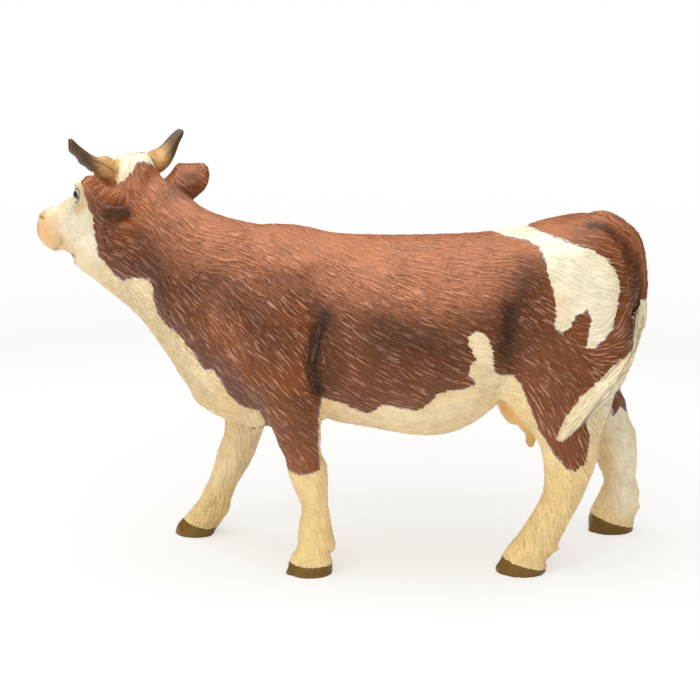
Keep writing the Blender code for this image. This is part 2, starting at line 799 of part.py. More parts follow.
def ear_object(name, side, lift, sweep, parts, finish):
    root = head_point(EAR_ROOT_SHARES, side)
    level = Vector((-math.sin(sweep), side * math.cos(sweep), 0))
    way = level * math.cos(lift) + Vector((0, 0, math.sin(lift)))
    back = Vector((math.cos(EAR_ROLL), 0, math.sin(EAR_ROLL)))
    path = []
    sizes = []
    cups = []
    for place, width, thickness, cup in smooth_rows(EAR_SECTION_SHARES, SMALL_RINGS_PER_SECTION):
        path.append(head_matrix() @ (root + way * (place * EAR_LENGTH)))
        sizes.append((width * EAR_HALF_WIDTH, thickness * EAR_HALF_THICKNESS))
        cups.append(cup * EAR_CUP_DEPTH)
    mesh = bmesh.new()
    add_loft(mesh, swept_rings(path, sizes, head_matrix().to_3x3() @ back, cups))
    ear = mesh_object(name, mesh, parts)
    ear.data.materials.append(finish)
    return ear


def tail_object(parts, finish):
    root = torso_point(TAIL_ROOT_SHARES)
    path = []
    sizes = []
    rows = smooth_rows(TAIL_SECTION_SHARES, SMALL_RINGS_PER_SECTION)
    for back, drop, swing, width, depth in rows:
        travel = Vector((back * TAIL_SET_BACK, -swing * TAIL_SWING, -drop * TAIL_DROP))
        path.append(root + travel)
        sizes.append((width * TAIL_HALF_WIDTH, depth * TAIL_HALF_DEPTH))
    mesh = bmesh.new()
    add_loft(mesh, swept_rings(path, sizes, TAIL_FLAT_WAY))
    tail = mesh_object("tail", mesh, parts)
    tail.data.materials.append(finish)
    return tail


def udder_object(helpers, parts, finish):
    mesh = bmesh.new()
    middle = torso_point(UDDER_SHARES)
    radii = (UDDER_HALF_LENGTH, UDDER_HALF_WIDTH, UDDER_HALF_DEPTH)
    add_ball(mesh, radii, Matrix.Translation(middle))
    teat_radii = (TEAT_RADIUS, TEAT_RADIUS, TEAT_LENGTH)
    for along, across in TEAT_SHARES:
        shape = Vector((along, across, -TEAT_DROP_SHARE * math.sqrt(1 - along**2 - across**2)))
        place = middle + Vector(a * b for a, b in zip(shape, radii))
        add_ball(mesh, teat_radii, Matrix.Translation(place))
    form = helper_object("udder_form", mesh, helpers)
    melt(form, UDDER_GRID, UDDER_SMOOTHING, UDDER_SHARE_KEPT)
    udder = bpy.data.objects.new("udder", baked(form))
    parts.objects.link(udder)
    udder.data.materials.append(finish)
    return udder


def shade_pieces(parts):
    for piece in parts.objects:
        piece.data.shade_smooth()


def stand_on_origin(parts, helpers):
    """Carries everything on one empty, which centres the figure over the frame's origin."""
    bpy.context.view_layer.update()
    graph = bpy.context.evaluated_depsgraph_get()
    corners = []
    for piece in parts.objects:
        corners += [Vector(corner) for corner in piece.evaluated_get(graph).bound_box]
    low, high = (
        Vector(pick(corner[axis] for corner in corners) for axis in range(3)) for pick in (min, max)
    )
    carrier = bpy.data.objects.new("cow_root", None)
    bpy.context.scene.collection.objects.link(carrier)
    carrier.location = Vector((-(low.x + high.x) / 2, -(low.y + high.y) / 2, -low.z))
    for carried in list(parts.objects) + list(helpers.objects):
        carried.parent = carrier


def main():
    clear_scene()
    parts = new_collection("toy_cow")
    helpers = new_collection("helpers")
    brown = material("brown_paint", BROWN)
    cream = material("cream_paint", CREAM)
    skin = figure_skin(helpers)

    horn_paint = material("horn_paint", HORN_TAN)
    left_horn = horn_object("left_horn", -1, parts, horn_paint)
    right_horn = horn_object("right_horn", 1, parts, horn_paint)
    left_ear = ear_object("left_ear", -1, LEFT_EAR_LIFT, LEFT_EAR_SWEEP, parts, brown)
    right_ear = ear_object("right_ear", 1, RIGHT_EAR_LIFT, RIGHT_EAR_SWEEP, parts, brown)
    tail = tail_object(parts, brown)
    udder = udder_object(helpers, parts, material("udder_paint", UDDER_PINK))
    tail_socket = grown(tail, helpers)
    udder_socket = grown(udder, helpers)

    head = piece_of_skin("head_and_neck", skin, parts, brown)
    combine(head, "INTERSECT", neck_block("neck_block", 0, helpers))
    combine(head, "UNION", neck_peg("neck_peg", 0, helpers))
    for fitted in (left_horn, right_horn, left_ear, right_ear):
        combine(head, "DIFFERENCE", grown(fitted, helpers))

    torso = piece_of_skin("torso", skin, parts, brown)
    combine(torso, "DIFFERENCE", neck_block("neck_clearance", SEAM_GAP, helpers))
    combine(torso, "DIFFERENCE", neck_peg("neck_socket", SEAM_GAP, helpers))
    for name, leg in leg_settings().items():
        limb = piece_of_skin(name, skin, parts, cream)
        combine(limb, "INTERSECT", leg_sleeve(name + "_sleeve", leg, 0, helpers))
        combine(limb, "UNION", leg_peg(name + "_peg", leg, 0, helpers))
        combine(limb, "DIFFERENCE", cleft_cutter(name + "_cleft", leg, helpers))
        if name == "rear_left_leg":
            combine(limb, "DIFFERENCE", tail_socket)
        if name.startswith("rear"):
            combine(limb, "DIFFERENCE", udder_socket)
        combine(torso, "DIFFERENCE", leg_sleeve(name + "_clearance", leg, SEAM_GAP, helpers))
        combine(torso, "DIFFERENCE", leg_peg(name + "_socket", leg, SEAM_GAP, helpers))
    combine(torso, "DIFFERENCE", tail_socket)
    combine(torso, "DIFFERENCE", udder_socket)
    shade_pieces(parts)
    stand_on_origin(parts, helpers)


main()
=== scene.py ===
"""The looks of a moulded, hand-painted toy cow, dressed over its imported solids.

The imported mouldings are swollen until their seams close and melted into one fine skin. Hollows and
folds are pressed into it, hair strokes are combed over it, the borders of the paint are laid on it,
and it is then parted again where the solids part. Lengths are in metres, and what the paint reads is
in millimetres. Places named in pixels are read in the photograph's own frame of 700 by 700.
"""

import json
import math

import bmesh
import bpy
import numpy as np
from mathutils import Matrix, Vector
from mathutils.bvhtree import BVHTree


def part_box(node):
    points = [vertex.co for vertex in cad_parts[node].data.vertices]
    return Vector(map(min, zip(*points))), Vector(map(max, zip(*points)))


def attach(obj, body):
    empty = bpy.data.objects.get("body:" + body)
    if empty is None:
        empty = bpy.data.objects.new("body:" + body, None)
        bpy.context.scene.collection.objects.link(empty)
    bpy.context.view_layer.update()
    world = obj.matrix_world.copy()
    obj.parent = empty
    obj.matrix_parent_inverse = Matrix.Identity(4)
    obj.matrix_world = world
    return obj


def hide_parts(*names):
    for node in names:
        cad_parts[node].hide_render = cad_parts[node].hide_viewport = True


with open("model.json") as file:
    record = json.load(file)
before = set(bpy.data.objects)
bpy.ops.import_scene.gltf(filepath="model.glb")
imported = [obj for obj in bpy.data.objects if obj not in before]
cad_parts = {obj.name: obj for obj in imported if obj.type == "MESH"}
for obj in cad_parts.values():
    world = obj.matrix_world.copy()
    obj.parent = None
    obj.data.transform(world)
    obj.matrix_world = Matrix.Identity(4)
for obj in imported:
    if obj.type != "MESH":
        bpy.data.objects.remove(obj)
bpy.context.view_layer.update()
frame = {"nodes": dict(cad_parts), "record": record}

NODES = sorted(frame["nodes"])
MM = 0.001

# The camera, as the photograph was taken
CAMERA_PLACE = np.array((2.504, -556.43, 190.0)) * MM
CAMERA_PITCH = math.radians(14.37)
FOCAL_PIXELS = 2450.0
FRAME_PIXELS = 700
MM_IN_A_PIXEL = 1 / 4.3
VIEW_WAY = np.array((0.0, math.cos(CAMERA_PITCH), -math.sin(CAMERA_PITCH)))
VIEW_UP = np.array((0.0, math.sin(CAMERA_PITCH), math.cos(CAMERA_PITCH)))
VIEW_RIGHT = np.array((1.0, 0.0, 0.0))

# The cow's middle: a plane through the torso that the neck bends, and the head's own frame
TORSO_MIDDLE = (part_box("torso")[0].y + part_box("torso")[1].y) / 2
TORSO_AXIS_HEIGHT = 53 * MM
TOP_LEAN_SPAN = 20 * MM
# Place ahead of the origin, how far the neck's middle has moved to the right, and its turn
NECK_BENDS = (
    (10 * MM, 0.0, 0.0),
    (16 * MM, 0.8 * MM, 4.0),
    (26 * MM, 2.6 * MM, 14.0),
    (33 * MM, 5.4 * MM, 22.0),
    (39 * MM, 8.2 * MM, 27.0),
    (45 * MM, 10.5 * MM, 36.0),
)
POLL_PLACE = np.array((-46.98, 4.47, 89.0)) * MM
HEAD_TURN = (
    Matrix.Rotation(math.radians(-42.0), 3, "Z")
    @ Matrix.Rotation(math.radians(-17.0), 3, "Y")
    @ Matrix.Rotation(math.radians(-3.0), 3, "X")
)
HEAD_AXES = np.array(HEAD_TURN)
# How far ahead of the poll the head's own middle takes over from the neck's
HEAD_BLEND = (-14 * MM, -2 * MM)
# The forehead, ahead of the poll and to either side of the head's middle
FOREHEAD_SPAN = (-24 * MM, 4 * MM)
FOREHEAD_HALF_WIDTH = 9 * MM

# The skin
SWELL = 0.26 * MM
SKIN_GRID = 0.44 * MM
EVENING_ROUNDS = 90
EVEN_IN = 0.5
EVEN_OUT = -0.51
# How strongly each moulding is evened out. Thin ones keep more of their shape
EVENNESS = {
    "left_horn": 0.45,
    "right_horn": 0.45,
    "left_ear": 0.5,
    "right_ear": 0.5,
    "tail": 0.7,
    "udder": 0.6,
}
SOLE_LEVEL = 0.3 * MM
FOOT_HEIGHT = (11 * MM, 17 * MM)
FOOT_EVENNESS = 0.3
LIP = 0.45 * MM
SLIMNESS = 0.3
# Where the caps that close the pieces inside meet: in the body, and in the skull
HEART_HEIGHT = 58 * MM
HEART_DRIFT = 0.75
SKULL_HEART = POLL_PLACE + HEAD_AXES @ np.array((-7, 0, -12)) * MM
EARS = ("left_ear", "right_ear")
TORSO_THIRDS = ("shoulder", "barrel", "hindquarter")

# Small pushes across the picture: mouldings, and for each push its place, reach and way in pixels
PUSHES = (
    (("left_horn",), (
        ((65, 143), 7, (3.5, -0.5)), ((74, 159), 7, (3, -2)), ((83, 170), 7, (2.5, -3)),
        ((92, 177), 6, (2.5, -3.5)),
    )),
    (("left_horn", "head_and_neck"), (
        ((106, 160), 7, (0, -4)),
    )),
    (("head_and_neck",), (
        ((118, 160), 7, (0, -4)), ((138, 153), 8, (0, -1.5)), ((78, 185), 5, (-3.5, -1)),
        ((57, 205), 6, (0.5, 1.8)), ((41, 213), 4, (-2.5, -0.5)), ((37, 227), 6, (0.7, 0)),
        ((62, 254), 6, (0, -3)), ((70, 257), 5, (0, -2)), ((77, 260), 5, (-2.5, 3)),
        ((84, 268), 7, (-1.5, 1.5)),
    )),
    (("head_and_neck", "right_horn"), (
        ((151, 155), 6, (-1, -4)),
    )),
    (("right_horn",), (
        ((178, 131), 9, (4, 0.5)), ((157, 151), 6, (-3, -0.5)),
    )),
    (("right_ear",), (
        ((180, 167), 8, (-2, -4)), ((197, 197), 7, (-4, 2)),
    )),
    (("left_ear",), (
        ((78, 177), 5, (4, 4.5)), ((95, 182), 8, (0, -5)), ((105, 207), 8, (0, 3)),
    )),
    (("torso",), (
        ((196, 400), 10, (-1.2, 1.2)), ((327, 423), 8, (0, -4.5)), ((268, 431), 6, (0, -4)),
        ((520, 224), 18, (0, 2.5)),
    )),
    (("tail", "torso"), (
        ((640, 232), 14, (2.5, -1.5)),
    )),
    (("front_right_leg",), (
        ((221, 436), 13, (2.8, 0)), ((205, 488), 8, (-1, -0.5)), ((217, 531), 6, (-3.5, 0)),
    )),
    (("front_left_leg",), (
        ((284, 458), 8, (2, 0)), ((298, 505), 14, (3, 0)), ((294, 545), 7, (2.7, 0)),
        ((334, 554), 3.5, (-3.5, 0)), ((289, 573), 4, (-2.5, 0)),
    )),
    (("front_left_leg", "torso"), (
        ((327, 452), 10, (-3, 0)),
    )),
    (("rear_right_leg", "torso"), (
        ((628, 388), 9, (-6, 1)),
    )),
    (("rear_right_leg",), (
        ((641, 478), 12, (-4.5, 0)), ((601, 478), 9, (2.3, 0)), ((590, 532), 5, (-2, 0)),
    )),
    (("rear_left_leg",), (
        ((500, 568), 6, (-4, 0)), ((556, 549), 4, (2.5, 0)), ((548, 561), 3, (-2.5, 0)),
    )),
    (("udder",), (
        ((524, 443), 4, (-3, 0.5)), ((516, 428), 6, (1, -2)),
    )),
)

# Hooves: the height of their upper border, and how much it drops on the way to the heel
HOOVES = {
    "front_left_leg": (2.55 * MM, 0.03),
    "front_right_leg": (2.7 * MM, 0.26),
    "rear_left_leg": (2.5 * MM, 0.28),
    "rear_right_leg": (2.8 * MM, 0.34),
}

# Outlines of the paint, in pixels
OUTLINE_REACH = 26
BROWN_OUTLINE = (
    (83, 186), (87.5, 200), (92, 217), (96, 239), (99, 256), (114, 273), (123, 280), (134, 277),
    (149, 278), (153.5, 287), (153.5, 297), (158, 312), (165, 323), (180, 336), (192, 350),
    (205, 369), (212, 368), (220, 378), (229, 394), (241, 405), (252, 409), (260, 410), (266, 423),
    (271, 436), (275, 450), (279, 464), (286, 466), (290, 470), (300, 474), (311, 472.5), (319, 468.6),
    (319, 459), (318, 440), (318, 415), (321, 396), (333, 400), (352, 407), (367, 413), (375, 410),
    (381, 404), (388, 404), (401, 407), (417, 410), (427, 405), (437, 394), (449, 390.5),
    (463, 389), (475, 383.6), (468, 375), (469, 366), (476, 360), (467.5, 343), (469, 335.4),
    (476.7, 330), (484.4, 332.4), (489, 340), (493.6, 350.7), (494.3, 370.6), (501, 374.4),
    (513.5, 375.2), (521, 383), (525.7, 395), (531.8, 409), (539, 430), (545.6, 438.8), (556, 455),
    (566, 468), (575, 471), (585, 463.8), (588, 447), (590, 436), (585, 422.6), (592, 408),
    (604, 396), (614, 386), (680, 380), (690, 150), (160, 150), (157, 171), (153, 166),
    (147, 163), (138, 163), (131, 173), (124, 183), (118, 184), (112, 179), (95, 176),
)
FAR_THIGH_OUTLINE = (
    (604, 376), (612, 393), (619, 403), (626, 411), (632, 417), (650, 420), (650, 376),
)
RIGHT_THIGH_OUTLINE = (
    (575, 380), (583, 420), (575, 450), (590, 470), (612, 476), (660, 470), (660, 360), (600, 370),
)
RUMP_OUTLINE = (
    (491, 230.6), (504, 236), (525.7, 240.5), (538, 246.6), (542.6, 257), (547, 269.6),
    (550, 283.4), (554, 297), (555.6, 311), (554, 327.8), (562.5, 334.6), (570, 327.8),
    (577.8, 315.5), (587, 311), (590.8, 320), (587.7, 335.4), (585.4, 348.4), (594.6, 349),
    (605, 341.5), (613, 329), (617.6, 309), (620.6, 289.5), (617.6, 272.7), (608, 259),
    (593, 249.7), (570, 242), (547, 233), (528.8, 225), (522, 205), (494, 212),
)

# The edge of the bib on the cow's right: place ahead of the origin and height, in millimetres
RIGHT_BIB_EDGE = ((12, 26), (20, 31), (26, 37), (34, 46), (44, 57), (52, 65), (62, 70))
RIGHT_BIB_REACH = 12 * MM
# The buttocks, brown from here back and up
REAR_START = 52 * MM
REAR_LOW = 36 * MM
RIGHT_THROAT = 47 * MM
RIGHT_THROAT_LEAN = 0.35
# How low the brown reaches on the right legs' outer sides
RIGHT_LEG_BROWN = {"front_right_leg": 27 * MM, "rear_right_leg": 30 * MM}

# Soft marks of the paint, painted light and shade among them: amount, half width and points, all in pixels
# Painted shade: darker brown in the hollows and creases, behind the shoulder and low on the flank
PAINTED_SHADE_MARKS = (
    (1.0, 8, ((324, 316), (316, 340), (313, 365), (320, 392))),
    (0.5, 14, ((330, 330), (330, 380))),
    (1.0, 9, ((512, 310), (508, 345))),
    (0.6, 16, ((528, 275), (512, 315), (505, 360))),
    (0.8, 7, ((108, 214), (126, 213))),
    (0.8, 5, ((590, 226), (605, 226), (624, 242), (636, 268), (638, 300), (633, 335))),
    (0.4, 12, ((140, 236), (152, 266), (166, 290))),
    (0.4, 20, ((215, 280), (240, 310), (275, 345))),
    (0.4, 14, ((270, 278), (300, 285), (320, 310))),
    (0.5, 18, ((375, 328), (430, 340))),
    (0.4, 16, ((300, 410), (302, 440))),
    (0.3, 25, ((545, 340), (575, 380))),
    (0.5, 12, ((172, 194), (184, 190), (192, 182))),
    (0.3, 13, ((112, 240), (124, 256), (138, 268))),
    (0.35, 22, ((160, 252), (188, 292))),
    (0.25, 20, ((365, 382), (430, 384), (462, 366))),
    (0.4, 26, ((385, 345), (440, 350), (470, 330))),
)
# Painted reflected light: the brown greyer low on the body, as if lit from the pale floor below
FLOOR_BOUNCE_MARKS = (
    (1.0, 10, ((152, 275), (160, 305), (185, 340), (215, 368), (240, 398), (256, 402))),
    (0.5, 9, ((98, 215), (104, 250), (125, 270), (148, 270))),
    (0.4, 9, ((330, 393), (365, 403), (420, 400), (450, 383), (465, 350))),
    (0.3, 14, ((550, 385), (562, 430))),
    (0.5, 18, ((112, 275), (160, 330), (200, 382))),
)
# Painted light on the cream: the face, poll, rump and belly, and the shaded far legs made paler
PAINTED_LIGHT_MARKS = (
    (1.0, 40, ((50, 215), (85, 240))),
    (0.9, 26, ((100, 165), (150, 155))),
    (1.0, 52, ((500, 222), (560, 260), (595, 290), (585, 330))),
    (1.0, 18, ((615, 400), (627, 460), (622, 500))),
    (0.5, 16, ((250, 425), (228, 480))),
    (0.5, 16, ((350, 412), (420, 418), (470, 405))),
    (0.6, 22, ((482, 340), (500, 380))),
    (0.6, 22, ((646, 300), (600, 390), (565, 435))),
    (0.5, 26, ((130, 290), (165, 335), (200, 380))),
)
# Paler brown along the back and other tops: partly airbrushed paint, partly a painted sheen of the light
# from above
PALE_SHEEN_MARKS = (
    (0.9, 34, ((150, 190), (200, 225), (250, 238), (300, 245), (400, 250), (480, 250), (530, 235))),
    (0.9, 24, ((175, 245), (230, 258), (300, 270), (380, 290), (450, 300), (480, 280))),
    (0.8, 24, ((335, 262), (400, 278), (452, 278))),
    (0.4, 16, ((215, 300), (235, 345))),
    (0.35, 18, ((300, 425), (304, 455))),
    (0.2, 30, ((560, 360), (572, 400))),
    (0.9, 11, ((86, 183), (98, 183), (112, 190))),
    (0.6, 12, ((600, 215), (630, 230), (644, 262), (646, 295))),
    (0.6, 10, ((186, 166), (202, 172), (202, 184))),
    (0.3, 14, ((550, 225), (600, 222), (625, 240))),
)
# Painted shade on the cream, olive in colour: hollows of the legs and feet, round the mouth and eye, by the
# udder and under the neck
OLIVE_SHADE_MARKS = (
    (0.5, 11, ((243, 425), (243, 470))),
    (0.7, 14, ((232, 480), (205, 525))),
    (0.5, 7, ((326, 530), (330, 545))),
    (0.5, 6, ((556, 548), (550, 556))),
    (0.3, 8, ((600, 420), (606, 470), (610, 510))),
    (0.4, 16, ((302, 515), (306, 560))),
    (0.35, 18, ((535, 510), (520, 555))),
    (0.6, 4, ((58, 236), (60, 243), (57, 248))),
    (0.35, 5, ((76, 184), (83, 190), (84, 200), (77, 208))),
    (0.3, 6, ((66, 246), (84, 258), (100, 272))),
    (0.7, 7, ((527, 436), (527, 447))),
    (0.4, 10, ((130, 300), (165, 345), (200, 395))),
)
WARM_MARKS = (
    (1.0, 15, ((42, 222), (46, 238), (58, 250))),
    (0.5, 4, ((40, 212), (46, 206))),
    (0.6, 4, ((88, 190), (86, 204), (78, 210))),
)
# Painted highlights: the ear's lit rim and the ridge in the elbow's crease
RIM_HIGHLIGHT_MARKS = (
    (0.5, 1.2, ((88, 186), (91, 193), (96, 200), (102, 205), (110, 207), (122, 207))),
    (0.25, 0.9, ((319, 326), (315, 345), (312, 362))),
)
LINE_MARKS = (
    (0.8, 0.9, ((74.6, 189.5), (77.2, 188.4), (79.2, 191.5), (79.6, 197), (78.2, 201.5), (75.5, 202.5))),
    (0.15, 1.2, ((77, 185.5), (81, 187.5), (83.5, 195), (82, 203), (77, 206.5))),
    (0.8, 1.0, ((38.5, 215), (41, 217.5), (43, 218))),
    (0.4, 0.9, ((52, 250.5), (58, 249), (66, 251.5), (74, 256))),
    (0.35, 1.0, ((61, 236), (62, 241), (60, 246))),
    (0.1, 0.9, ((72, 205), (71, 212), (70, 218))),
    (0.8, 0.8, ((94, 160), (103, 164), (110, 168), (115, 173))),
    (0.6, 0.8, ((72, 143), (80, 153), (88, 163), (97, 168))),
    (0.6, 0.8, ((76, 143), (84, 152), (92, 158))),
    (0.5, 0.8, ((176, 140), (172, 148), (166, 156))),
    (0.7, 0.8, ((291, 563), (292, 578))),
    (0.5, 0.9, ((613, 391), (590, 415), (572, 438))),
    (0.5, 0.9, ((627, 370), (602, 398), (582, 424))),
    (0.5, 0.9, ((642, 318), (636, 348), (617, 380))),
    (0.5, 0.9, ((636, 322), (631, 350), (604, 380))),
)
SPECK_MARKS = ((1.0, 10, ((207, 495), (200, 518))),)

# Folds: depth, half width in pixels and points. A depth below zero raises a ridge
FOLDS = (
    (0.7 * MM, 9.0, ((326, 318), (320, 345), (317, 372), (322, 398))),
    (-0.35 * MM, 1.6, ((324, 322), (318, 340), (314, 362), (314, 378))),
    (0.35 * MM, 1.6, ((320, 330), (311, 352), (309, 372), (314, 388), (320, 400))),
    (-0.4 * MM, 8.0, ((304, 330), (298, 360), (302, 390))),
    (-0.7 * MM, 7.0, ((638, 300), (639, 316), (637, 332))),
    (-0.3 * MM, 1.5, ((84, 186), (92, 194), (97, 205), (104, 210), (115, 208), (127, 207))),
    (0.5 * MM, 5.0, ((102, 217), (116, 217), (130, 213))),
    (0.25 * MM, 0.9, ((291, 562), (292, 578))),
    (0.12 * MM, 5.0, ((384, 240), (390, 270), (396, 300))),
    (0.12 * MM, 5.0, ((404, 240), (410, 270), (416, 300))),
    (0.12 * MM, 5.0, ((424, 240), (430, 268), (436, 295))),
    (0.10 * MM, 5.0, ((446, 242), (452, 266), (456, 290))),
    (0.7 * MM, 10.0, ((513, 300), (508, 330), (504, 360))),
    (0.5 * MM, 3.0, ((598, 224), (617, 238), (630, 262), (635, 300), (630, 338))),
    (0.30 * MM, 1.3, ((46, 246), (58, 249), (69, 253), (77, 257))),
    (0.35 * MM, 1.8, ((41, 214), (42, 219))),
    (-0.25 * MM, 1.8, ((38, 210), (42, 209), (47, 213), (45, 220))),
    (0.12 * MM, 1.2, ((79, 209), (76, 218), (72, 231))),
    (0.10 * MM, 1.5, ((58, 236), (60, 243), (57, 248))),
    (0.10 * MM, 0.8, ((275, 236), (272, 243))),
    (0.10 * MM, 0.8, ((208, 303), (206, 330))),
    (0.10 * MM, 0.8, ((575, 218), (576, 232), (584, 247))),
    (0.35 * MM, 5.0, ((88, 212), (100, 225), (103, 250))),
    (-0.4 * MM, 12.0, ((238, 262), (246, 300), (262, 340))),
    (0.3 * MM, 6.0, ((218, 300), (232, 345), (252, 385))),
    (0.35 * MM, 5.0, ((200, 340), (226, 372), (248, 398))),
    (0.35 * MM, 4.0, ((568, 452), (560, 478), (552, 500), (545, 525))),
    (0.30 * MM, 3.0, ((613, 470), (616, 490), (618, 508))),
    (-0.3 * MM, 5.0, ((290, 462), (300, 470), (312, 464))),
    (0.3 * MM, 5.0, ((322, 480), (324, 505), (320, 528))),
    (0.4 * MM, 5.0, ((500, 402), (512, 416), (522, 428))),
)

# How the hair lies: place in pixels, angle downwards from the view's right, and depth of the strokes
HAIR = (
    (60, 230, 25, 0.15), (80, 225, 60, 0.25), (90, 255, 58, 0.5), (75, 200, 70, 0.15),
    (100, 180, 155, 0.7), (110, 200, 150, 0.6), (60, 210, 10, 0.1), (48, 235, 60, 0.1),
    (130, 160, 120, 0.5), (118, 170, 100, 0.6), (145, 172, 55, 0.8), (155, 160, 20, 0.5),
    (108, 225, 25, 0.8), (110, 250, 22, 0.8), (128, 268, 30, 0.8), (135, 225, 12, 0.5),
    (150, 205, 42, 1.3), (175, 230, 44, 1.4), (160, 245, 48, 1.1), (195, 255, 25, 1.5),
    (225, 262, 8, 1.5), (250, 268, 25, 1.3), (180, 210, 40, 0.5), (215, 235, 5, 0.6),
    (175, 285, 50, 0.8), (170, 310, 52, 1.0), (200, 340, 50, 0.9), (125, 290, 50, 0.9),
    (155, 310, 58, 1.0), (180, 350, 60, 1.0), (205, 385, 45, 1.0), (235, 400, 28, 0.9),
    (230, 290, 42, 1.2), (265, 290, 45, 1.6), (295, 285, 42, 1.6), (235, 325, 50, 1.0),
    (280, 320, 48, 1.4), (270, 360, 50, 0.9), (255, 390, 45, 0.8), (290, 380, 55, 0.7),
    (270, 235, 28, 0.7), (310, 250, 32, 0.7), (330, 235, 20, 0.5), (320, 285, 35, 1.4),
    (350, 305, 32, 1.5), (385, 310, 30, 1.5), (420, 320, 24, 1.5), (450, 312, 24, 1.4),
    (370, 265, 20, 0.6), (430, 255, 12, 0.8), (470, 255, 10, 0.8), (470, 290, 18, 0.9),
    (345, 350, 35, 1.1), (400, 350, 28, 1.1), (450, 350, 30, 0.8), (360, 385, 33, 0.8),
    (420, 380, 32, 0.8), (340, 410, 12, 0.6), (400, 415, 6, 0.6), (460, 405, 4, 0.6),
    (470, 330, 25, 0.8), (480, 360, 8, 0.8), (505, 385, 10, 0.8), (490, 275, 5, 1.2),
    (505, 250, -5, 0.8), (525, 285, 28, 1.2), (540, 325, 33, 1.1), (515, 335, 30, 0.8),
    (550, 365, 50, 1.0), (580, 365, 40, 1.0), (560, 405, 62, 1.0), (540, 400, 60, 0.9),
    (575, 440, 70, 0.9), (570, 285, 32, 0.8), (600, 300, 22, 0.7), (560, 245, 20, 0.4),
    (605, 350, -12, 0.8), (620, 320, -60, 0.7), (560, 225, 8, 0.4), (610, 218, 15, 0.4),
    (300, 410, 38, 1.0), (285, 440, 42, 1.0), (310, 455, 50, 0.9), (300, 490, 62, 0.6),
    (312, 520, 65, 0.7), (310, 550, 85, 0.5), (245, 440, 85, 0.8), (225, 480, 105, 0.8),
    (205, 510, 112, 1.0), (525, 440, 62, 0.8), (545, 480, 68, 1.0), (570, 480, 60, 1.0),
    (545, 520, 95, 1.0), (520, 550, 88, 0.9), (600, 420, 50, 1.0), (618, 460, 55, 0.9),
    (612, 500, 80, 1.0), (625, 515, 60, 0.9), (505, 415, 40, 0.3), (527, 440, 90, 0.1),
)
HAIR_REACH = 3.0

# The tail's own hair: place, angle and depth, and where its brown ends
TAIL_HAIR = (
    (560, 215, 5, 0.5), (600, 212, 12, 0.8), (625, 228, 45, 1.0), (640, 260, 78, 1.2),
    (645, 300, 92, 1.2), (636, 345, 112, 1.2), (610, 382, 138, 1.3), (580, 412, 130, 1.3),
    (562, 438, 128, 1.0),
)
TAIL_BROWN_END = 298

# How the strokes are combed
STROKE_WIDTH = 0.47 * MM
STROKE_LENGTH = 5.0 * MM
STROKE_DEPTH = 0.075 * MM
STROKE_SAMPLES = 18
STROKE_CONTRAST = 11.0
CREST_SHARPNESS = 2.0
BUMP_DEPTH = 0.15 * MM
STROKE_WAVINESS = 0.55
WAVE_WIDTH = 3.0 * MM
STROKE_SOCKETS = ("Stroke Width", "Stroke Length", "Wave Width", "Waviness", "Contrast", "Sharpness")
FINE_WIDTH = 0.27 * MM
FINE_LENGTH = 2.4 * MM
FINE_WAVE = 2.2 * MM

# The studio
SOFT_BOX_SIZE = (1.5, 1.7)
SOFT_BOX_PLACE = (-0.12, -0.25, 0.70)
SOFT_BOX_POWER = 16.2
SIDE_BOX_SIZE = 0.7
SIDE_BOX_PLACE = (-0.40, -0.74, 0.32)
SIDE_BOX_AIM = (-0.04, 0.0, 0.06)
SIDE_BOX_POWER = 2.0
SURROUND_STRENGTH = 0.08
TABLE_SHADE = (0.86, 0.85, 0.84, 1)
TABLE_LIGHT = (0.90, 0.89, 0.88, 1)
TABLE_EDGE = (0.10, 0.10, 0.10, 1)
TABLE_GLOW = (0.975, 0.955, 0.93, 1)

# Eyes
EYE_PIXEL = (76.6, 195.0)
EYE_RADII = (1.45 * MM, 1.0 * MM, 1.3 * MM)
EYE_STANDS_PROUD = 0.35 * MM


def paint(red, green, blue):
    """A colour from its values on a screen, 0 to 255, as Blender's shaders want it."""
    shares = (value / 255 for value in (red, green, blue))
    return tuple(s / 12.92 if s <= 0.04045 else ((s + 0.055) / 1.055) ** 2.4 for s in shares) + (1.0,)


BROWN = paint(138, 76, 34)
# Paler brown on top: partly airbrushed paint, partly painted sheen
BROWN_PALE_SHEEN = paint(200, 126, 84)
# Painted highlight on the crests of the hair strokes
BROWN_CREST_HIGHLIGHT = paint(228, 172, 144)
# Dark brown for the painted shade in hollows and creases, and for the dark line along the hooves' border
BROWN_SHADE_AND_OUTLINE = paint(50, 24, 8)
# Greyer brown for the painted light reflected up from the floor
BROWN_FLOOR_BOUNCE = paint(120, 84, 70)
# Dark brown in the stroke grooves: partly the paint's own wash, partly painted shade in the grooves
BROWN_WASH_AND_SHADE = paint(62, 28, 8)
# Greyish painted highlight along rims and ridges
RIM_HIGHLIGHT_GREY = paint(160, 132, 132)
CREAM = paint(246, 216, 154)
# Paler cream for the painted light
CREAM_PAINTED_LIGHT = paint(255, 243, 212)
# Darker cream in the stroke grooves: partly the paint's own wash, partly painted shade in the grooves
CREAM_WASH_AND_SHADE = paint(182, 130, 66)
# Olive for the painted shade on the cream and the udder
OLIVE_SHADE = paint(192, 164, 92)
WARM_PINK = paint(247, 190, 124)
FRINGE = paint(122, 110, 128)
DARK_LINE = paint(92, 66, 50)
HORN_TAN = paint(222, 172, 108)
HORN_DARK = paint(98, 76, 54)
HOOF_BROWN = paint(116, 86, 30)
UDDER_PINK = paint(244, 200, 128)
EYE_DARK = paint(26, 30, 40)
EYE_BLUE = paint(48, 58, 76)


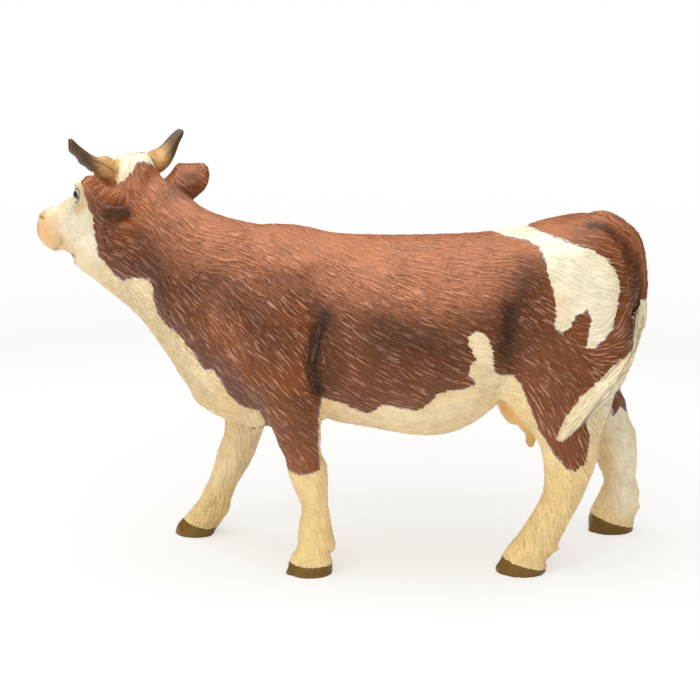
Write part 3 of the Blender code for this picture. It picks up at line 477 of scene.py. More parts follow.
def pixels(points):
    """Where points show in the photograph, in pixels from its upper left corner."""
    away = points - CAMERA_PLACE
    depth = away @ VIEW_WAY
    across = FRAME_PIXELS / 2 + FOCAL_PIXELS * away[:, 0] / depth
    down = FRAME_PIXELS / 2 - FOCAL_PIXELS * (away @ VIEW_UP) / depth
    return np.stack([across, down], axis=1)


def smooth_step(values, low, high):
    share = np.clip((values - low) / (high - low), 0, 1)
    return share * share * (3 - 2 * share)


def unit(vectors):
    return vectors / np.maximum(np.linalg.norm(vectors, axis=1, keepdims=True), 1e-12)


def mirrored(points):
    """Points right of the cow's middle carried over to its left, and the way across at each."""
    ahead, moved, turn = (np.array(column) for column in zip(*NECK_BENDS))
    angle = np.radians(np.interp(-points[:, 0], ahead, turn))
    middle = TORSO_MIDDLE + np.interp(-points[:, 0], ahead, moved)
    way = np.stack([np.sin(angle), np.cos(angle), np.zeros(len(points))], axis=1)
    aside = (points[:, 1] - middle) * np.cos(angle)
    lean = CAMERA_PITCH * smooth_step(points[:, 2] - TORSO_AXIS_HEIGHT, 0, TOP_LEAN_SPAN)
    aside = aside * np.cos(lean) - (points[:, 2] - TORSO_AXIS_HEIGHT) * np.sin(lean)
    way = way * np.cos(lean)[:, None] - np.array((0, 0, 1.0)) * np.sin(lean)[:, None]

    from_poll = (points - POLL_PLACE) @ HEAD_AXES
    head = smooth_step(-from_poll[:, 0], *HEAD_BLEND)
    aside = aside * (1 - head) + from_poll[:, 1] * head
    way = unit(way * (1 - head)[:, None] + HEAD_AXES[:, 1] * head[:, None])
    aside = np.maximum(aside, 0)
    return points - 2 * aside[:, None] * way, way, aside


class Chart:
    """Where a skin's points lie in the photograph: as seen, and as seen on the cow's left."""

    def __init__(self, points, normals):
        flipped, self.way, self.aside = mirrored(points)
        self.seen = pixels(points)
        self.across = pixels(flipped)
        self.facing = smooth_step(-(normals @ VIEW_WAY), -0.05, 0.35)

    def field(self, measure):
        """A measure of pixel places, from both charts at once."""
        hidden = 1 - self.facing
        return measure(self.seen) * self.facing + measure(self.across) * hidden


def distance_to_line(places, line, reach):
    """Distance of each place to a line of points, up to a reach, and the share of it passed there."""
    best = np.full(len(places), float(reach))
    passed = np.zeros(len(places))
    total = max(len(line) - 1, 1)
    for index, (start, end) in enumerate(zip(line, line[1:])):
        start = np.array(start, float)
        run = np.array(end, float) - start
        low = start + np.minimum(run, 0) - reach
        high = start + np.maximum(run, 0) + reach
        across, down = places[:, 0], places[:, 1]
        near = np.flatnonzero(
            (across > low[0]) & (across < high[0]) & (down > low[1]) & (down < high[1])
        )
        around = places[near] - start
        share = np.clip(around @ run / (run @ run), 0, 1)
        gap = np.sqrt(((around - share[:, None] * run) ** 2).sum(1))
        nearer = gap < best[near]
        best[near[nearer]] = gap[nearer]
        passed[near[nearer]] = (index + share[nearer]) / total
    return best, passed


def inside_outline(places, outline):
    """Signed distance to a closed outline in pixels, above zero inside it."""
    gap, _ = distance_to_line(places, outline + outline[:1], OUTLINE_REACH)
    inside = np.zeros(len(places), bool)
    for (x0, y0), (x1, y1) in zip(outline, outline[1:] + outline[:1]):
        crosses = (y0 > places[:, 1]) != (y1 > places[:, 1])
        at = x0 + (places[:, 1] - y0) * (x1 - x0) / ((y1 - y0) or 1e-9)
        inside ^= crosses & (places[:, 0] < at)
    return np.where(inside, gap, -gap)


def marks(table):
    """A measure that lays the table's soft marks over each other."""

    def measure(places):
        left = np.ones(len(places))
        for amount, half_width, line in table:
            gap, _ = distance_to_line(places, line, 2.6 * half_width)
            left *= 1 - amount * np.where(gap < 2.6 * half_width, np.exp(-((gap / half_width) ** 2)), 0)
        return 1 - left

    return measure


def fold_height(places):
    """How far the folds press in, with ends that run out softly."""
    height = np.zeros(len(places))
    for depth, half_width, line in FOLDS:
        gap, passed = distance_to_line(places, line, 2.6 * half_width)
        near = np.flatnonzero(gap < 2.6 * half_width)
        ends = smooth_step(np.minimum(passed[near], 1 - passed[near]), -0.02, 0.18)
        height[near] -= depth * ends * np.exp(-((gap[near] / half_width) ** 2))
    return height


def combed(table):
    """A measure of the hair's way on the picture and its depth, from the nearest places named."""
    table = np.array(table, float)
    angle = np.radians(table[:, 2])
    values = np.stack([np.cos(angle), np.sin(angle), table[:, 3]], axis=1)

    def measure(places):
        total = np.zeros((len(places), 3))
        weight = np.zeros(len(places))
        for place, value in zip(table[:, :2], values):
            near = 1 / (((places - place) ** 2).sum(1) + 30) ** (HAIR_REACH / 2)
            total += near[:, None] * value
            weight += near
        return total / weight[:, None]

    return measure


def points_of(mesh):
    flat = np.empty(len(mesh.vertices) * 3)
    mesh.vertices.foreach_get("co", flat)
    return flat.reshape(-1, 3)


def quads_of(mesh):
    corners = np.empty(len(mesh.loops), np.int32)
    mesh.loops.foreach_get("vertex_index", corners)
    return corners.reshape(-1, 4)


def point_normals(points, quads):
    crossed = np.cross(points[quads[:, 2]] - points[quads[:, 0]], points[quads[:, 3]] - points[quads[:, 1]])
    total = np.zeros_like(points)
    for corner in range(4):
        for axis in range(3):
            total[:, axis] += np.bincount(quads[:, corner], crossed[:, axis], len(points))
    return unit(total)


def neighbours(quads, count):
    """Each point's neighbours in one row, with where each point's share starts and its length."""
    ends = [np.stack([quads[:, i], quads[:, (i + 1) % 4]], 1) for i in range(4)]
    pairs = np.concatenate(ends + [pair[:, ::-1] for pair in ends]).astype(np.int64)
    keys = np.unique(pairs[:, 0] * count + pairs[:, 1])
    source = keys // count
    starts = np.searchsorted(source, np.arange(count))
    lengths = np.bincount(source, minlength=count)
    return keys % count, starts, lengths


def evened(points, beside, softness):
    """Takes the flat facets out of a skin and keeps its girth."""
    others, starts, lengths = beside
    points = points.copy()
    for _ in range(EVENING_ROUNDS):
        for step in (EVEN_IN, EVEN_OUT):
            middle = np.add.reduceat(points[others], starts, axis=0) / lengths[:, None]
            points += (step * softness)[:, None] * (middle - points)
    return points


def finer(points, quads, fields):
    """Each face parted into four, with the skin rounded between them."""
    count = len(points)
    ends = np.stack([quads, np.roll(quads, -1, axis=1)], axis=2).astype(np.int64)
    ends.sort(axis=2)
    keys, edge = np.unique(ends[..., 0] * count + ends[..., 1], return_inverse=True)
    edge = edge.reshape(-1, 4)
    first, second = keys // count, keys % count

    def spread(where, values, size):
        return np.stack([np.bincount(where, values[:, axis], size) for axis in range(3)], axis=1)

    face_points = points[quads].mean(1)
    faces_at_edge = np.bincount(edge.ravel(), minlength=len(keys))
    beside = spread(edge.ravel(), np.repeat(face_points, 4, axis=0), len(keys)) / faces_at_edge[:, None]
    middles = (points[first] + points[second]) / 2
    edge_points = (middles + beside) / 2
    corners = quads.ravel()
    faces_at = np.bincount(corners, minlength=count)[:, None]
    face_mean = spread(corners, np.repeat(face_points, 4, axis=0), count) / faces_at
    both = np.concatenate([first, second])
    edges_at = np.bincount(both, minlength=count)[:, None]
    edge_mean = spread(both, np.concatenate([middles, middles]), count) / edges_at
    rounded = (face_mean + 2 * edge_mean + (faces_at - 3) * points) / faces_at

    centre = count + len(keys) + np.arange(len(quads))
    fine = np.stack(
        [quads, count + edge, np.tile(centre[:, None], (1, 4)), count + np.roll(edge, 1, axis=1)], axis=2
    )
    filled = {}
    for name, values in fields.items():
        between = (values[first] + values[second]) / 2
        filled[name] = np.concatenate([values, between, values[quads].mean(1)])
    return np.concatenate([rounded, edge_points, face_points]), fine.reshape(-1, 4), filled


def mesh_from(name, points, quads, triangles=()):
    """A mesh of four-sided and three-sided faces."""
    triangles = np.array(triangles, np.int64).reshape(-1, 3)
    corners = np.concatenate([quads.ravel(), triangles.ravel()])
    starts = np.concatenate(
        [4 * np.arange(len(quads)), 4 * len(quads) + 3 * np.arange(len(triangles))]
    )
    mesh = bpy.data.meshes.new(name)
    mesh.vertices.add(len(points))
    mesh.vertices.foreach_set("co", points.astype(np.float32).ravel())
    mesh.loops.add(len(corners))
    mesh.loops.foreach_set("vertex_index", corners.astype(np.int32))
    mesh.polygons.add(len(starts))
    mesh.polygons.foreach_set("loop_start", starts.astype(np.int32))
    mesh.update(calc_edges=True)
    return mesh


def new_object(name, mesh):
    made = bpy.data.objects.new(name, mesh)
    bpy.context.scene.collection.objects.link(made)
    return made


def with_modifiers(obj):
    """The object's mesh as its modifiers leave it. The object itself goes."""
    bpy.context.view_layer.update()
    graph = bpy.context.evaluated_depsgraph_get()
    mesh = bpy.data.meshes.new_from_object(obj.evaluated_get(graph))
    bpy.data.objects.remove(obj)
    return mesh


def swollen_solids():
    """Every packed moulding, swollen by more than half a seam, in one mesh."""
    whole = bmesh.new()
    for name in NODES:
        part = bmesh.new()
        part.from_mesh(frame["nodes"][name].data)
        bmesh.ops.remove_doubles(part, verts=part.verts, dist=1e-6)
        part.normal_update()
        for vert in part.verts:
            vert.co += vert.normal * SWELL
        lump = bpy.data.meshes.new("lump")
        part.to_mesh(lump)
        part.free()
        whole.from_mesh(lump)
        bpy.data.meshes.remove(lump)
    mesh = bpy.data.meshes.new("swollen")
    whole.to_mesh(mesh)
    whole.free()
    return mesh


def solids_tree():
    """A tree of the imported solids, and the node that owns each of its faces."""
    corners = []
    faces = []
    owners = []
    for index, name in enumerate(NODES):
        mesh = frame["nodes"][name].data
        start = len(corners)
        corners += [vert.co.copy() for vert in mesh.vertices]
        faces += [[start + i for i in face.vertices] for face in mesh.polygons]
        owners += [index] * len(mesh.polygons)
    return BVHTree.FromPolygons(corners, faces), owners


def outer_shell(points, quads):
    """The skin's largest connected patch alone, without the hollows that stay closed inside."""
    patch = np.arange(len(points))
    others, starts, _ = neighbours(quads, len(points))
    while True:
        merged = np.minimum(patch, np.minimum.reduceat(patch[others], starts))
        for _ in range(6):
            merged = merged[merged]
        if (merged == patch).all():
            break
        patch = merged
    kept = patch == np.argmax(np.bincount(patch))
    place = np.cumsum(kept) - 1
    return points[kept], place[quads[kept[quads[:, 0]]]]


def pushed(points, owner):
    """The skin with its small pushes made, to follow the photograph's outline."""
    seen = pixels(points)
    a_pixel = ((points - CAMERA_PLACE) @ VIEW_WAY) / FOCAL_PIXELS
    shift = np.zeros((len(points), 2))
    for names, table in PUSHES:
        theirs = np.isin(owner, [NODES.index(name) for name in names])
        for place, reach, push in table:
            share = np.exp(-(((seen - place) / reach) ** 2).sum(1)) * theirs
            shift += share[:, None] * push
    shift *= a_pixel[:, None]
    return points + shift[:, :1] * VIEW_RIGHT - shift[:, 1:] * VIEW_UP


def settled_labels(labels, quads, count):
    """Face labels without islands: what isn't in its label's largest patch joins its neighbours."""
    ends = [np.stack([quads[:, i], quads[:, (i + 1) % 4]], 1) for i in range(4)]
    pairs = np.sort(np.concatenate(ends), axis=1).astype(np.int64)
    keys = pairs[:, 0] * count + pairs[:, 1]
    order = np.argsort(keys, kind="stable")
    owner = np.tile(np.arange(len(quads)), 4)[order]
    beside = owner.reshape(-1, 2)
    labels = labels.copy()
    for _ in range(3):
        patch = np.arange(len(quads))
        same = beside[labels[beside[:, 0]] == labels[beside[:, 1]]]
        while True:
            low = np.minimum(patch[same[:, 0]], patch[same[:, 1]])
            merged = patch.copy()
            np.minimum.at(merged, same[:, 0], low)
            np.minimum.at(merged, same[:, 1], low)
            merged = merged[merged]
            merged = merged[merged]
            if (merged == patch).all():
                break
            patch = merged
        sizes = np.bincount(patch, minlength=len(quads))
        largest = {}
        for found in np.unique(patch):
            name = labels[found]
            if name not in largest or sizes[found] > sizes[largest[name]]:
                largest[name] = found
        stray = ~np.isin(patch, list(largest.values()))
        if not stray.any():
            break
        for a, b in (beside.T, beside.T[::-1]):
            move = stray[a] & ~stray[b]
            labels[a[move]] = labels[b[move]]
    return labels


def melted_skin():
    """One closed skin round all mouldings, with the moulding that each face belongs to."""
    lump = new_object("lump", swollen_solids())
    melt = lump.modifiers.new("melt", "REMESH")
    melt.mode = "VOXEL"
    melt.voxel_size = SKIN_GRID
    mesh = with_modifiers(lump)
    points, quads = outer_shell(points_of(mesh), quads_of(mesh))
    tree, owners = solids_tree()
    owner_of_point = np.array([owners[tree.find_nearest(point)[2]] for point in points.tolist()])
    softness = np.array([EVENNESS.get(name, 1.0) for name in NODES])[owner_of_point]
    foot = np.isin(owner_of_point, [NODES.index(name) for name in HOOVES])
    foot = foot * (1 - smooth_step(points[:, 2], *FOOT_HEIGHT))
    softness = softness * (1 - foot) + FOOT_EVENNESS * foot
    points = evened(points, neighbours(quads, len(points)), softness)
    points -= SWELL * point_normals(points, quads)
    points = pushed(points, owner_of_point)
    points[:, 2] = np.where(points[:, 2] < SOLE_LEVEL, 0.0, points[:, 2])
    labels = settled_labels(owner_of_point[quads[:, 0]], quads, len(points))
    return points, quads, owner_of_point, labels


def parted(points, quads, labels):
    """The largest mouldings' faces labelled in smaller lots, with every lot's name."""
    middles = points[quads].mean(1)
    low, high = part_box("torso")
    third = np.clip((middles[:, 0] - low.x) / (high.x - low.x) * 3, 0, 2).astype(int)
    lots = list(NODES)
    labels = labels.copy()
    for ear in EARS:
        labels[labels == NODES.index(ear)] = NODES.index("head_and_neck")
    torso = labels == NODES.index("torso")
    for side, across in (("left", middles[:, 1] <= TORSO_MIDDLE), ("right", middles[:, 1] > TORSO_MIDDLE)):
        for index, name in enumerate(TORSO_THIRDS):
            labels[torso & across & (third == index)] = len(lots)
            lots.append(side + "_" + name)
    from_poll = (middles - POLL_PLACE) @ HEAD_AXES
    behind = (labels == NODES.index("head_and_neck")) & (from_poll[:, 0] > HEAD_BLEND[1])
    labels[behind] = len(lots)
    lots.append("neck")
    return labels, lots


def on_forehead(points, normals, chart):
    """How far each point lies on the unseen forehead, where the side's lines stay off."""
    from_poll = (points - POLL_PLACE) @ HEAD_AXES
    near = (from_poll[:, 0] > FOREHEAD_SPAN[0]) & (from_poll[:, 0] < FOREHEAD_SPAN[1])
    near &= np.abs(from_poll[:, 1]) < FOREHEAD_HALF_WIDTH
    upward = normals @ (0.5 * HEAD_AXES[:, 2] - HEAD_AXES[:, 0])
    return near * smooth_step(upward, 0.2, 0.5) * (1 - chart.facing)


def paint_fields(points, normals, owner):
    """Everything the paint and the comb read at each point, by name."""
    chart = Chart(points, normals)
    is_a = {name: owner == NODES.index(name) for name in NODES}
    px = MM_IN_A_PIXEL

    def cream_measure(places):
        brown = inside_outline(places, BROWN_OUTLINE)
        patch = inside_outline(places, RUMP_OUTLINE)
        return np.maximum(-brown, patch) * px

    through = cream_measure(chart.seen)
    across = np.minimum(cream_measure(chart.across), -px * inside_outline(chart.across, RIGHT_THIGH_OUTLINE))
    ahead, height = np.array(RIGHT_BIB_EDGE).T * MM
    sway = 1.2 * np.sin(points[:, 2] / (2.7 * MM)) + 0.6 * np.sin(points[:, 2] / MM + 1)
    sway += 0.7 * np.sin(points[:, 0] / (1.3 * MM))
    bib = (np.interp(-points[:, 0], ahead, height) - points[:, 2]) / MM * 0.75 + sway
    throat = (-points[:, 0] - RIGHT_THROAT + RIGHT_THROAT_LEAN * (70 * MM - points[:, 2])) / MM
    bib = np.maximum(bib, throat * 0.75 + sway)
    across = np.where(points[:, 0] < -RIGHT_BIB_REACH, np.minimum(across, bib), across)
    cream = through * chart.facing + across * (1 - chart.facing)
    from_poll = (points - POLL_PLACE) @ HEAD_AXES
    front = 8 * (normals @ (0.5 * HEAD_AXES[:, 2] - HEAD_AXES[:, 0]) - 0.22) - 12 * chart.facing
    face = is_a["head_and_neck"] & (from_poll[:, 0] < -HEAD_BLEND[1])
    cream = np.where(face, np.maximum(cream, front), cream)
    under = (-normals[:, 2] - 0.6) * 9 - 12 * chart.facing
    trunk = is_a["torso"] | is_a["head_and_neck"]
    cream = np.where(trunk, np.maximum(cream, np.where(points[:, 0] < 50 * MM, under, -9)), cream)
    behind = is_a["torso"] & (points[:, 0] > REAR_START) & (points[:, 2] > REAR_LOW)
    buttock = 6 * (0.5 - normals[:, 0]) + 12 * chart.facing
    buttock = np.where(points[:, 1] > 0, 8 * (normals[:, 1] - 0.3), buttock)
    cream = np.where(behind, np.minimum(cream, buttock), cream)
    for name in ("front_left_leg", "rear_left_leg"):
        inner = (normals[:, 1] - 0.45) * 6
        cream = np.where(is_a[name], np.maximum(through, inner), cream)
    for name, top in RIGHT_LEG_BROWN.items():
        outer = (np.maximum(normals[:, 1], 0.9 * normals[:, 0]) - 0.35) * 8
        sway = np.sin(points[:, 0] / (1.9 * MM)) + 0.6 * np.sin(points[:, 0] / (0.8 * MM) + 1.3)
        low = (points[:, 2] - top - 0.35 * (points[:, 0] - points[is_a[name]][:, 0].mean())) / MM + sway
        cream = np.where(is_a[name], -np.minimum(outer, low), cream)
    far_thigh = inside_outline(chart.seen, FAR_THIGH_OUTLINE) * px
    cream = np.where(is_a["rear_right_leg"], np.minimum(cream, -far_thigh), cream)
    tail_cream = (chart.seen[:, 1] - TAIL_BROWN_END) * px
    cream = np.where(is_a["tail"], tail_cream, cream)
    cream = np.where(is_a["left_ear"] | is_a["right_ear"], -3.0, cream)
    cream = np.where(is_a["udder"], 3.0, cream)

    hoof = np.full(len(points), -9.0)
    for name, (height, drop) in HOOVES.items():
        sole = points[is_a[name] & (points[:, 2] < 3 * MM)]
        middle = (sole.min(0) + sole.max(0)) / 2
        top = height - drop * (points[:, 0] - middle[0])
        hoof = np.where(is_a[name], (top - points[:, 2]) / MM, hoof)

    horn = is_a["left_horn"] | is_a["right_horn"]
    horn_out = np.where(horn, np.abs(from_poll[:, 1]) / MM, 0)
    udder = np.where(is_a["udder"], 1.0, 0.0)

    hair = chart_hair(chart, normals, is_a["tail"])
    depth = hair[:, 3]
    depth = np.where(horn, 0.12, depth)
    depth = depth * (1 - smooth_step(hoof, -0.35, 0.15))
    depth = np.where(is_a["udder"], 0.15, depth)
    return {
        "cream": cream,
        # Painted shade in hollows and creases
        "painted_shade": chart.field(marks(PAINTED_SHADE_MARKS)) * (1 - on_forehead(points, normals, chart)),
        # Painted light reflected up from the floor
        "floor_bounce": chart.field(marks(FLOOR_BOUNCE_MARKS)),
        # Paler brown on top: partly paint, partly painted sheen
        "pale": chart.field(marks(PALE_SHEEN_MARKS)),
        # Painted light on the cream
        "light": chart.field(marks(PAINTED_LIGHT_MARKS)),
        # Painted shade on the cream, olive in colour
        "olive_shade": chart.field(marks(OLIVE_SHADE_MARKS)),
        "warm": chart.field(marks(WARM_MARKS)) * (is_a["head_and_neck"]),
        "speck": marks(SPECK_MARKS)(chart.seen) * is_a["front_right_leg"],
        "hoof": hoof,
        "horn": horn * 1.0,
        "horn_out": horn_out,
        "udder": udder,
        "stroke": depth,
        "hair_way": hair[:, :3],
    }


def chart_hair(chart, normals, on_tail):
    """The hair's way along the skin and its depth."""

    def laid(places_way, normal):
        way = places_way[:, :1] * VIEW_RIGHT - places_way[:, 1:2] * VIEW_UP
        toward = (way * normal).sum(1) / np.minimum((VIEW_WAY * normal).sum(1), -0.25)
        return unit(way - toward[:, None] * VIEW_WAY)

    measure = combed(HAIR)
    flip = (normals * chart.way).sum(1)
    mirror_normal = np.where((chart.aside > 0)[:, None], normals - 2 * flip[:, None] * chart.way, normals)
    seen = measure(chart.seen)
    across = measure(chart.across)
    way_seen = laid(seen, normals)
    way_across = laid(across, mirror_normal)
    back = (way_across * chart.way).sum(1)
    way_across = np.where(
        (chart.aside > 0)[:, None], way_across - 2 * back[:, None] * chart.way, way_across
    )
    facing = chart.facing[:, None]
    way = way_seen * facing + way_across * (1 - facing)
    depth = seen[:, 2] * chart.facing + across[:, 2] * (1 - chart.facing)
    tail = combed(TAIL_HAIR)(chart.seen)
    way = np.where(on_tail[:, None], laid(tail, normals), way)
    depth = np.where(on_tail, tail[:, 2], depth)
    way = unit(way - (way * normals).sum(1)[:, None] * normals)
    return np.concatenate([way, depth[:, None]], axis=1)


def set_fields(mesh, fields):
    for name, values in fields.items():
        kind = "FLOAT_VECTOR" if values.ndim == 2 else "FLOAT"
        layer = mesh.attributes.new(name, kind, "POINT")
        layer.data.foreach_set("vector" if values.ndim == 2 else "value", values.astype(np.float32).ravel())


def read_field(mesh, name, width=1):
    flat = np.empty(len(mesh.attributes[name].data) * width, np.float32)
    mesh.attributes[name].data.foreach_get("vector" if width == 3 else "value", flat)
    return flat.reshape(-1, width) if width > 1 else flat


def stroke_height(nodes, place, hair_way, given):
    """Nodes for hair strokes along the hair's way: a height from -1 to 1, with sharp crests."""
    wave = nodes.noise(place, nodes.maths("DIVIDE", 1.0, given["Wave Width"]), 1.0, "Color")
    wave = nodes.vector("SCALE", nodes.vector("SUBTRACT", wave, (0.5, 0.5, 0.5)), given["Waviness"])
    way = nodes.vector("NORMALIZE", nodes.vector("ADD", hair_way, wave), (0, 0, 0))
    size = nodes.maths("DIVIDE", 1.0, given["Stroke Width"])
    total = None
    whole = 0.0
    for index in range(STROKE_SAMPLES):
        share = (index + 0.5) / STROKE_SAMPLES - 0.5
        weight = 0.5 + 0.5 * math.cos(2 * math.pi * share)
        whole += weight
        reach = nodes.times(given["Stroke Length"], share)
        along = nodes.vector("ADD", place, nodes.vector("SCALE", way, reach))
        sample = nodes.times(nodes.noise(along, size, 0.6), weight)
        total = sample if total is None else nodes.plus(total, sample)
    height = nodes.maths("SUBTRACT", nodes.maths("DIVIDE", total, whole), 0.5)
    height = nodes.maths("MULTIPLY_ADD", height, given["Contrast"], 0.5, clamp=True)
    height = nodes.maths("POWER", height, given["Sharpness"])
    return nodes.maths("MULTIPLY_ADD", height, 2.0, -1.0)


def comb_tree(finish):
    """Geometry nodes that press hair strokes into a skin along the way its hair lies."""
    tree = bpy.data.node_groups.new("comb_hair", "GeometryNodeTree")
    sockets = tree.interface
    sockets.new_socket("Geometry", in_out="INPUT", socket_type="NodeSocketGeometry")
    for name in STROKE_SOCKETS + ("Stroke Depth",):
        sockets.new_socket(name, in_out="INPUT", socket_type="NodeSocketFloat")
    sockets.new_socket("Geometry", in_out="OUTPUT", socket_type="NodeSocketGeometry")
    nodes = Nodes(tree)
    given = nodes.add("NodeGroupInput").outputs

    def named(name, kind):
        node = nodes.add("GeometryNodeInputNamedAttribute", data_type=kind)
        node.inputs["Name"].default_value = name
        return node.outputs["Attribute"]

    place = nodes.add("GeometryNodeInputPosition").outputs[0]
    height = stroke_height(nodes, place, named("hair_way", "FLOAT_VECTOR"), given)
    store = nodes.add("GeometryNodeStoreNamedAttribute", data_type="FLOAT", domain="POINT")
    store.inputs["Name"].default_value = "relief"
    nodes.feed(store.inputs["Geometry"], given["Geometry"])
    nodes.feed(store.inputs["Value"], height)
    lift = nodes.times(named("relief", "FLOAT"), named("stroke", "FLOAT"))
    lift = nodes.times(lift, given["Stroke Depth"])
    move = nodes.add("GeometryNodeSetPosition")
    nodes.feed(move.inputs["Geometry"], store.outputs["Geometry"])
    outward = nodes.add("GeometryNodeInputNormal").outputs[0]
    nodes.feed(move.inputs["Offset"], nodes.vector("SCALE", outward, lift))
    real = nodes.add("GeometryNodeRealizeInstances")
    nodes.feed(real.inputs["Geometry"], move.outputs["Geometry"])
    coat = nodes.add("GeometryNodeSetMaterial")
    coat.inputs["Material"].default_value = finish
    nodes.feed(coat.inputs["Geometry"], real.outputs["Geometry"])
    nodes.feed(nodes.add("NodeGroupOutput").inputs["Geometry"], coat.outputs["Geometry"])
    return tree


def combed_mesh(mesh, finish):
    """The skin with its hair strokes pressed in."""
    skin = new_object("skin", mesh)
    comb = skin.modifiers.new("comb", "NODES")
    comb.node_group = comb_tree(finish)
    sizes = {
        "Stroke Width": STROKE_WIDTH,
        "Stroke Length": STROKE_LENGTH,
        "Stroke Depth": STROKE_DEPTH,
        "Wave Width": WAVE_WIDTH,
        "Waviness": STROKE_WAVINESS,
        "Contrast": STROKE_CONTRAST,
        "Sharpness": CREST_SHARPNESS,
    }
    for item in comb.node_group.interface.items_tree:
        if item.in_out == "INPUT" and item.name in sizes:
            comb[item.identifier] = sizes[item.name]
    return with_modifiers(skin)


def border_loops(quads, count):
    """The closed loops of edges that only one of these faces has, each as a row of points."""
    starts = quads.ravel().astype(np.int64)
    ends = np.roll(quads, -1, axis=1).ravel().astype(np.int64)
    alone = ~np.isin(starts * count + ends, ends * count + starts)
    following = {}
    for start, end in zip(starts[alone].tolist(), ends[alone].tolist()):
        following.setdefault(start, []).append(end)
    loops = []
    while following:
        trail = [next(iter(following))]
        while True:
            here = trail[-1]
            onward = following[here].pop()
            if not following[here]:
                del following[here]
            if onward in trail:
                cut = trail.index(onward)
                loops.append(trail[cut:])
                trail = trail[: cut + 1]
                if onward not in following:
                    break
            else:
                trail.append(onward)
    return loops


def cap(points, normals, loop, heart, drift):
    """A cap inside the skin for one border: its sunk points, and its faces among them."""
    lip = points[loop] - normals[loop] * LIP
    count = len(loop)
    after = np.roll(lip, -1, axis=0)
    around = np.linalg.norm(after - lip, axis=1).sum()
    across = np.cross(lip - lip.mean(0), after - lip.mean(0)).sum(0)
    roundish = 2 * math.pi * np.linalg.norm(across) > SLIMNESS * around**2
    if roundish or heart is not None:
        hub = lip.mean(0)
        if heart is not None:
            hub = heart + np.array((0, drift * (hub[1] - heart[1]), 0))
        return np.concatenate([lip, hub[None]]), [[(i + 1) % count, i, count] for i in range(count)]
    plate = bmesh.new()
    corners = [plate.verts.new(place) for place in lip.tolist()]
    edges = [plate.edges.new((corners[i], corners[(i + 1) % count])) for i in range(count)]
    plate.verts.index_update()
    bmesh.ops.triangle_fill(plate, edges=edges, use_beauty=True, normal=Vector(across).normalized())
    faces = [[vert.index for vert in face.verts] for face in plate.faces]
    plate.free()
    steps = [(b - a) % count for face in faces for a, b in zip(face, face[1:] + face[:1])]
    if steps.count(1) > steps.count(count - 1):
        faces = [face[::-1] for face in faces]
    return lip, faces


def closed_piece(name, points, normals, quads, fields, finish, heart=None, drift=0.0):
    """These faces as a piece of their own, closed where it meets its neighbours."""
    used, local = np.unique(quads, return_inverse=True)
    local = local.reshape(-1, 4)
    corners = [points[used]]
    outward = [normals[used]]
    origin = [used]
    walls = [local]
    triangles = []
    total = len(used)
    for loop in border_loops(local, len(used)):
        if len(loop) < 3:
            continue
        lip, faces = cap(corners[0], outward[0], loop, heart, drift)
        ring = np.array(loop)
        sunk = total + np.arange(len(loop))
        walls.append(np.stack([np.roll(ring, -1), ring, sunk, np.roll(sunk, -1)], axis=1))
        triangles += [[total + index for index in face] for face in faces]
        same = np.resize(ring, len(lip))
        corners.append(lip)
        outward.append(outward[0][same])
        origin.append(used[same])
        total += len(lip)
    mesh = mesh_from(name, np.concatenate(corners), np.concatenate(walls), triangles)
    source = np.concatenate(origin)
    set_fields(mesh, {field: values[source] for field, values in fields.items()})
    mesh.shade_smooth()
    mesh.normals_split_custom_set_from_vertices(np.concatenate(outward).tolist())
    mesh.materials.append(finish)
    return new_object(name, mesh)


class Nodes:
    """Short ways to add and join shader nodes in one tree."""

    def __init__(self, tree):
        self.tree = tree

    def add(self, kind, **values):
        node = self.tree.nodes.new(kind)
        for name, value in values.items():
            setattr(node, name, value)
        return node

    def feed(self, socket, value):
        if isinstance(value, bpy.types.NodeSocket):
            self.tree.links.new(value, socket)
        else:
            socket.default_value = value

    def maths(self, operation, *values, clamp=False):
        node = self.add("ShaderNodeMath", operation=operation, use_clamp=clamp)
        for socket, value in zip(node.inputs, values):
            self.feed(socket, value)
        return node.outputs[0]

    def times(self, first, second):
        return self.maths("MULTIPLY", first, second)

    def plus(self, first, second):
        return self.maths("ADD", first, second)

    def vector(self, operation, first, second):
        node = self.add("ShaderNodeVectorMath", operation=operation)
        self.feed(node.inputs[0], first)
        self.feed(node.inputs["Scale" if operation == "SCALE" else 1], second)
        return node.outputs[0]

    def ramp(self, value, low, high, to_low=0.0, to_high=1.0):
        node = self.add("ShaderNodeMapRange", interpolation_type="SMOOTHSTEP")
        for socket, given in zip(node.inputs, (value, low, high, to_low, to_high)):
            self.feed(socket, given)
        return node.outputs["Result"]

    def mix(self, share, first, second, blend="MIX"):
        node = self.add("ShaderNodeMix", data_type="RGBA", blend_type=blend)
        for socket, value in zip((node.inputs[0], node.inputs[6], node.inputs[7]), (share, first, second)):
            self.feed(socket, value)
        return node.outputs[2]

    def shaded(self, colour, level, share):
        """The colour times a level, by a share."""
        grey = self.add("ShaderNodeCombineColor")
        for socket in grey.inputs[:3]:
            self.feed(socket, level)
        return self.mix(share, colour, grey.outputs[0], "MULTIPLY")

    def noise(self, place, size, detail=2.0, output="Fac"):
        """Noise of a size in metres, or of a scale where that comes from a socket."""
        node = self.add("ShaderNodeTexNoise")
        self.feed(node.inputs["Vector"], place)
        self.feed(node.inputs["Scale"], size if isinstance(size, bpy.types.NodeSocket) else 1 / size)
        node.inputs["Detail"].default_value = detail
        return node.outputs[output]

    def attribute(self, name, output="Fac"):
        return self.add("ShaderNodeAttribute", attribute_name=name).outputs[output]

    def group(self, tree, **values):
        node = self.add("ShaderNodeGroup", node_tree=tree)
        for name, value in values.items():
            self.feed(node.inputs[name.replace("_", " ")], value)
        return node.outputs


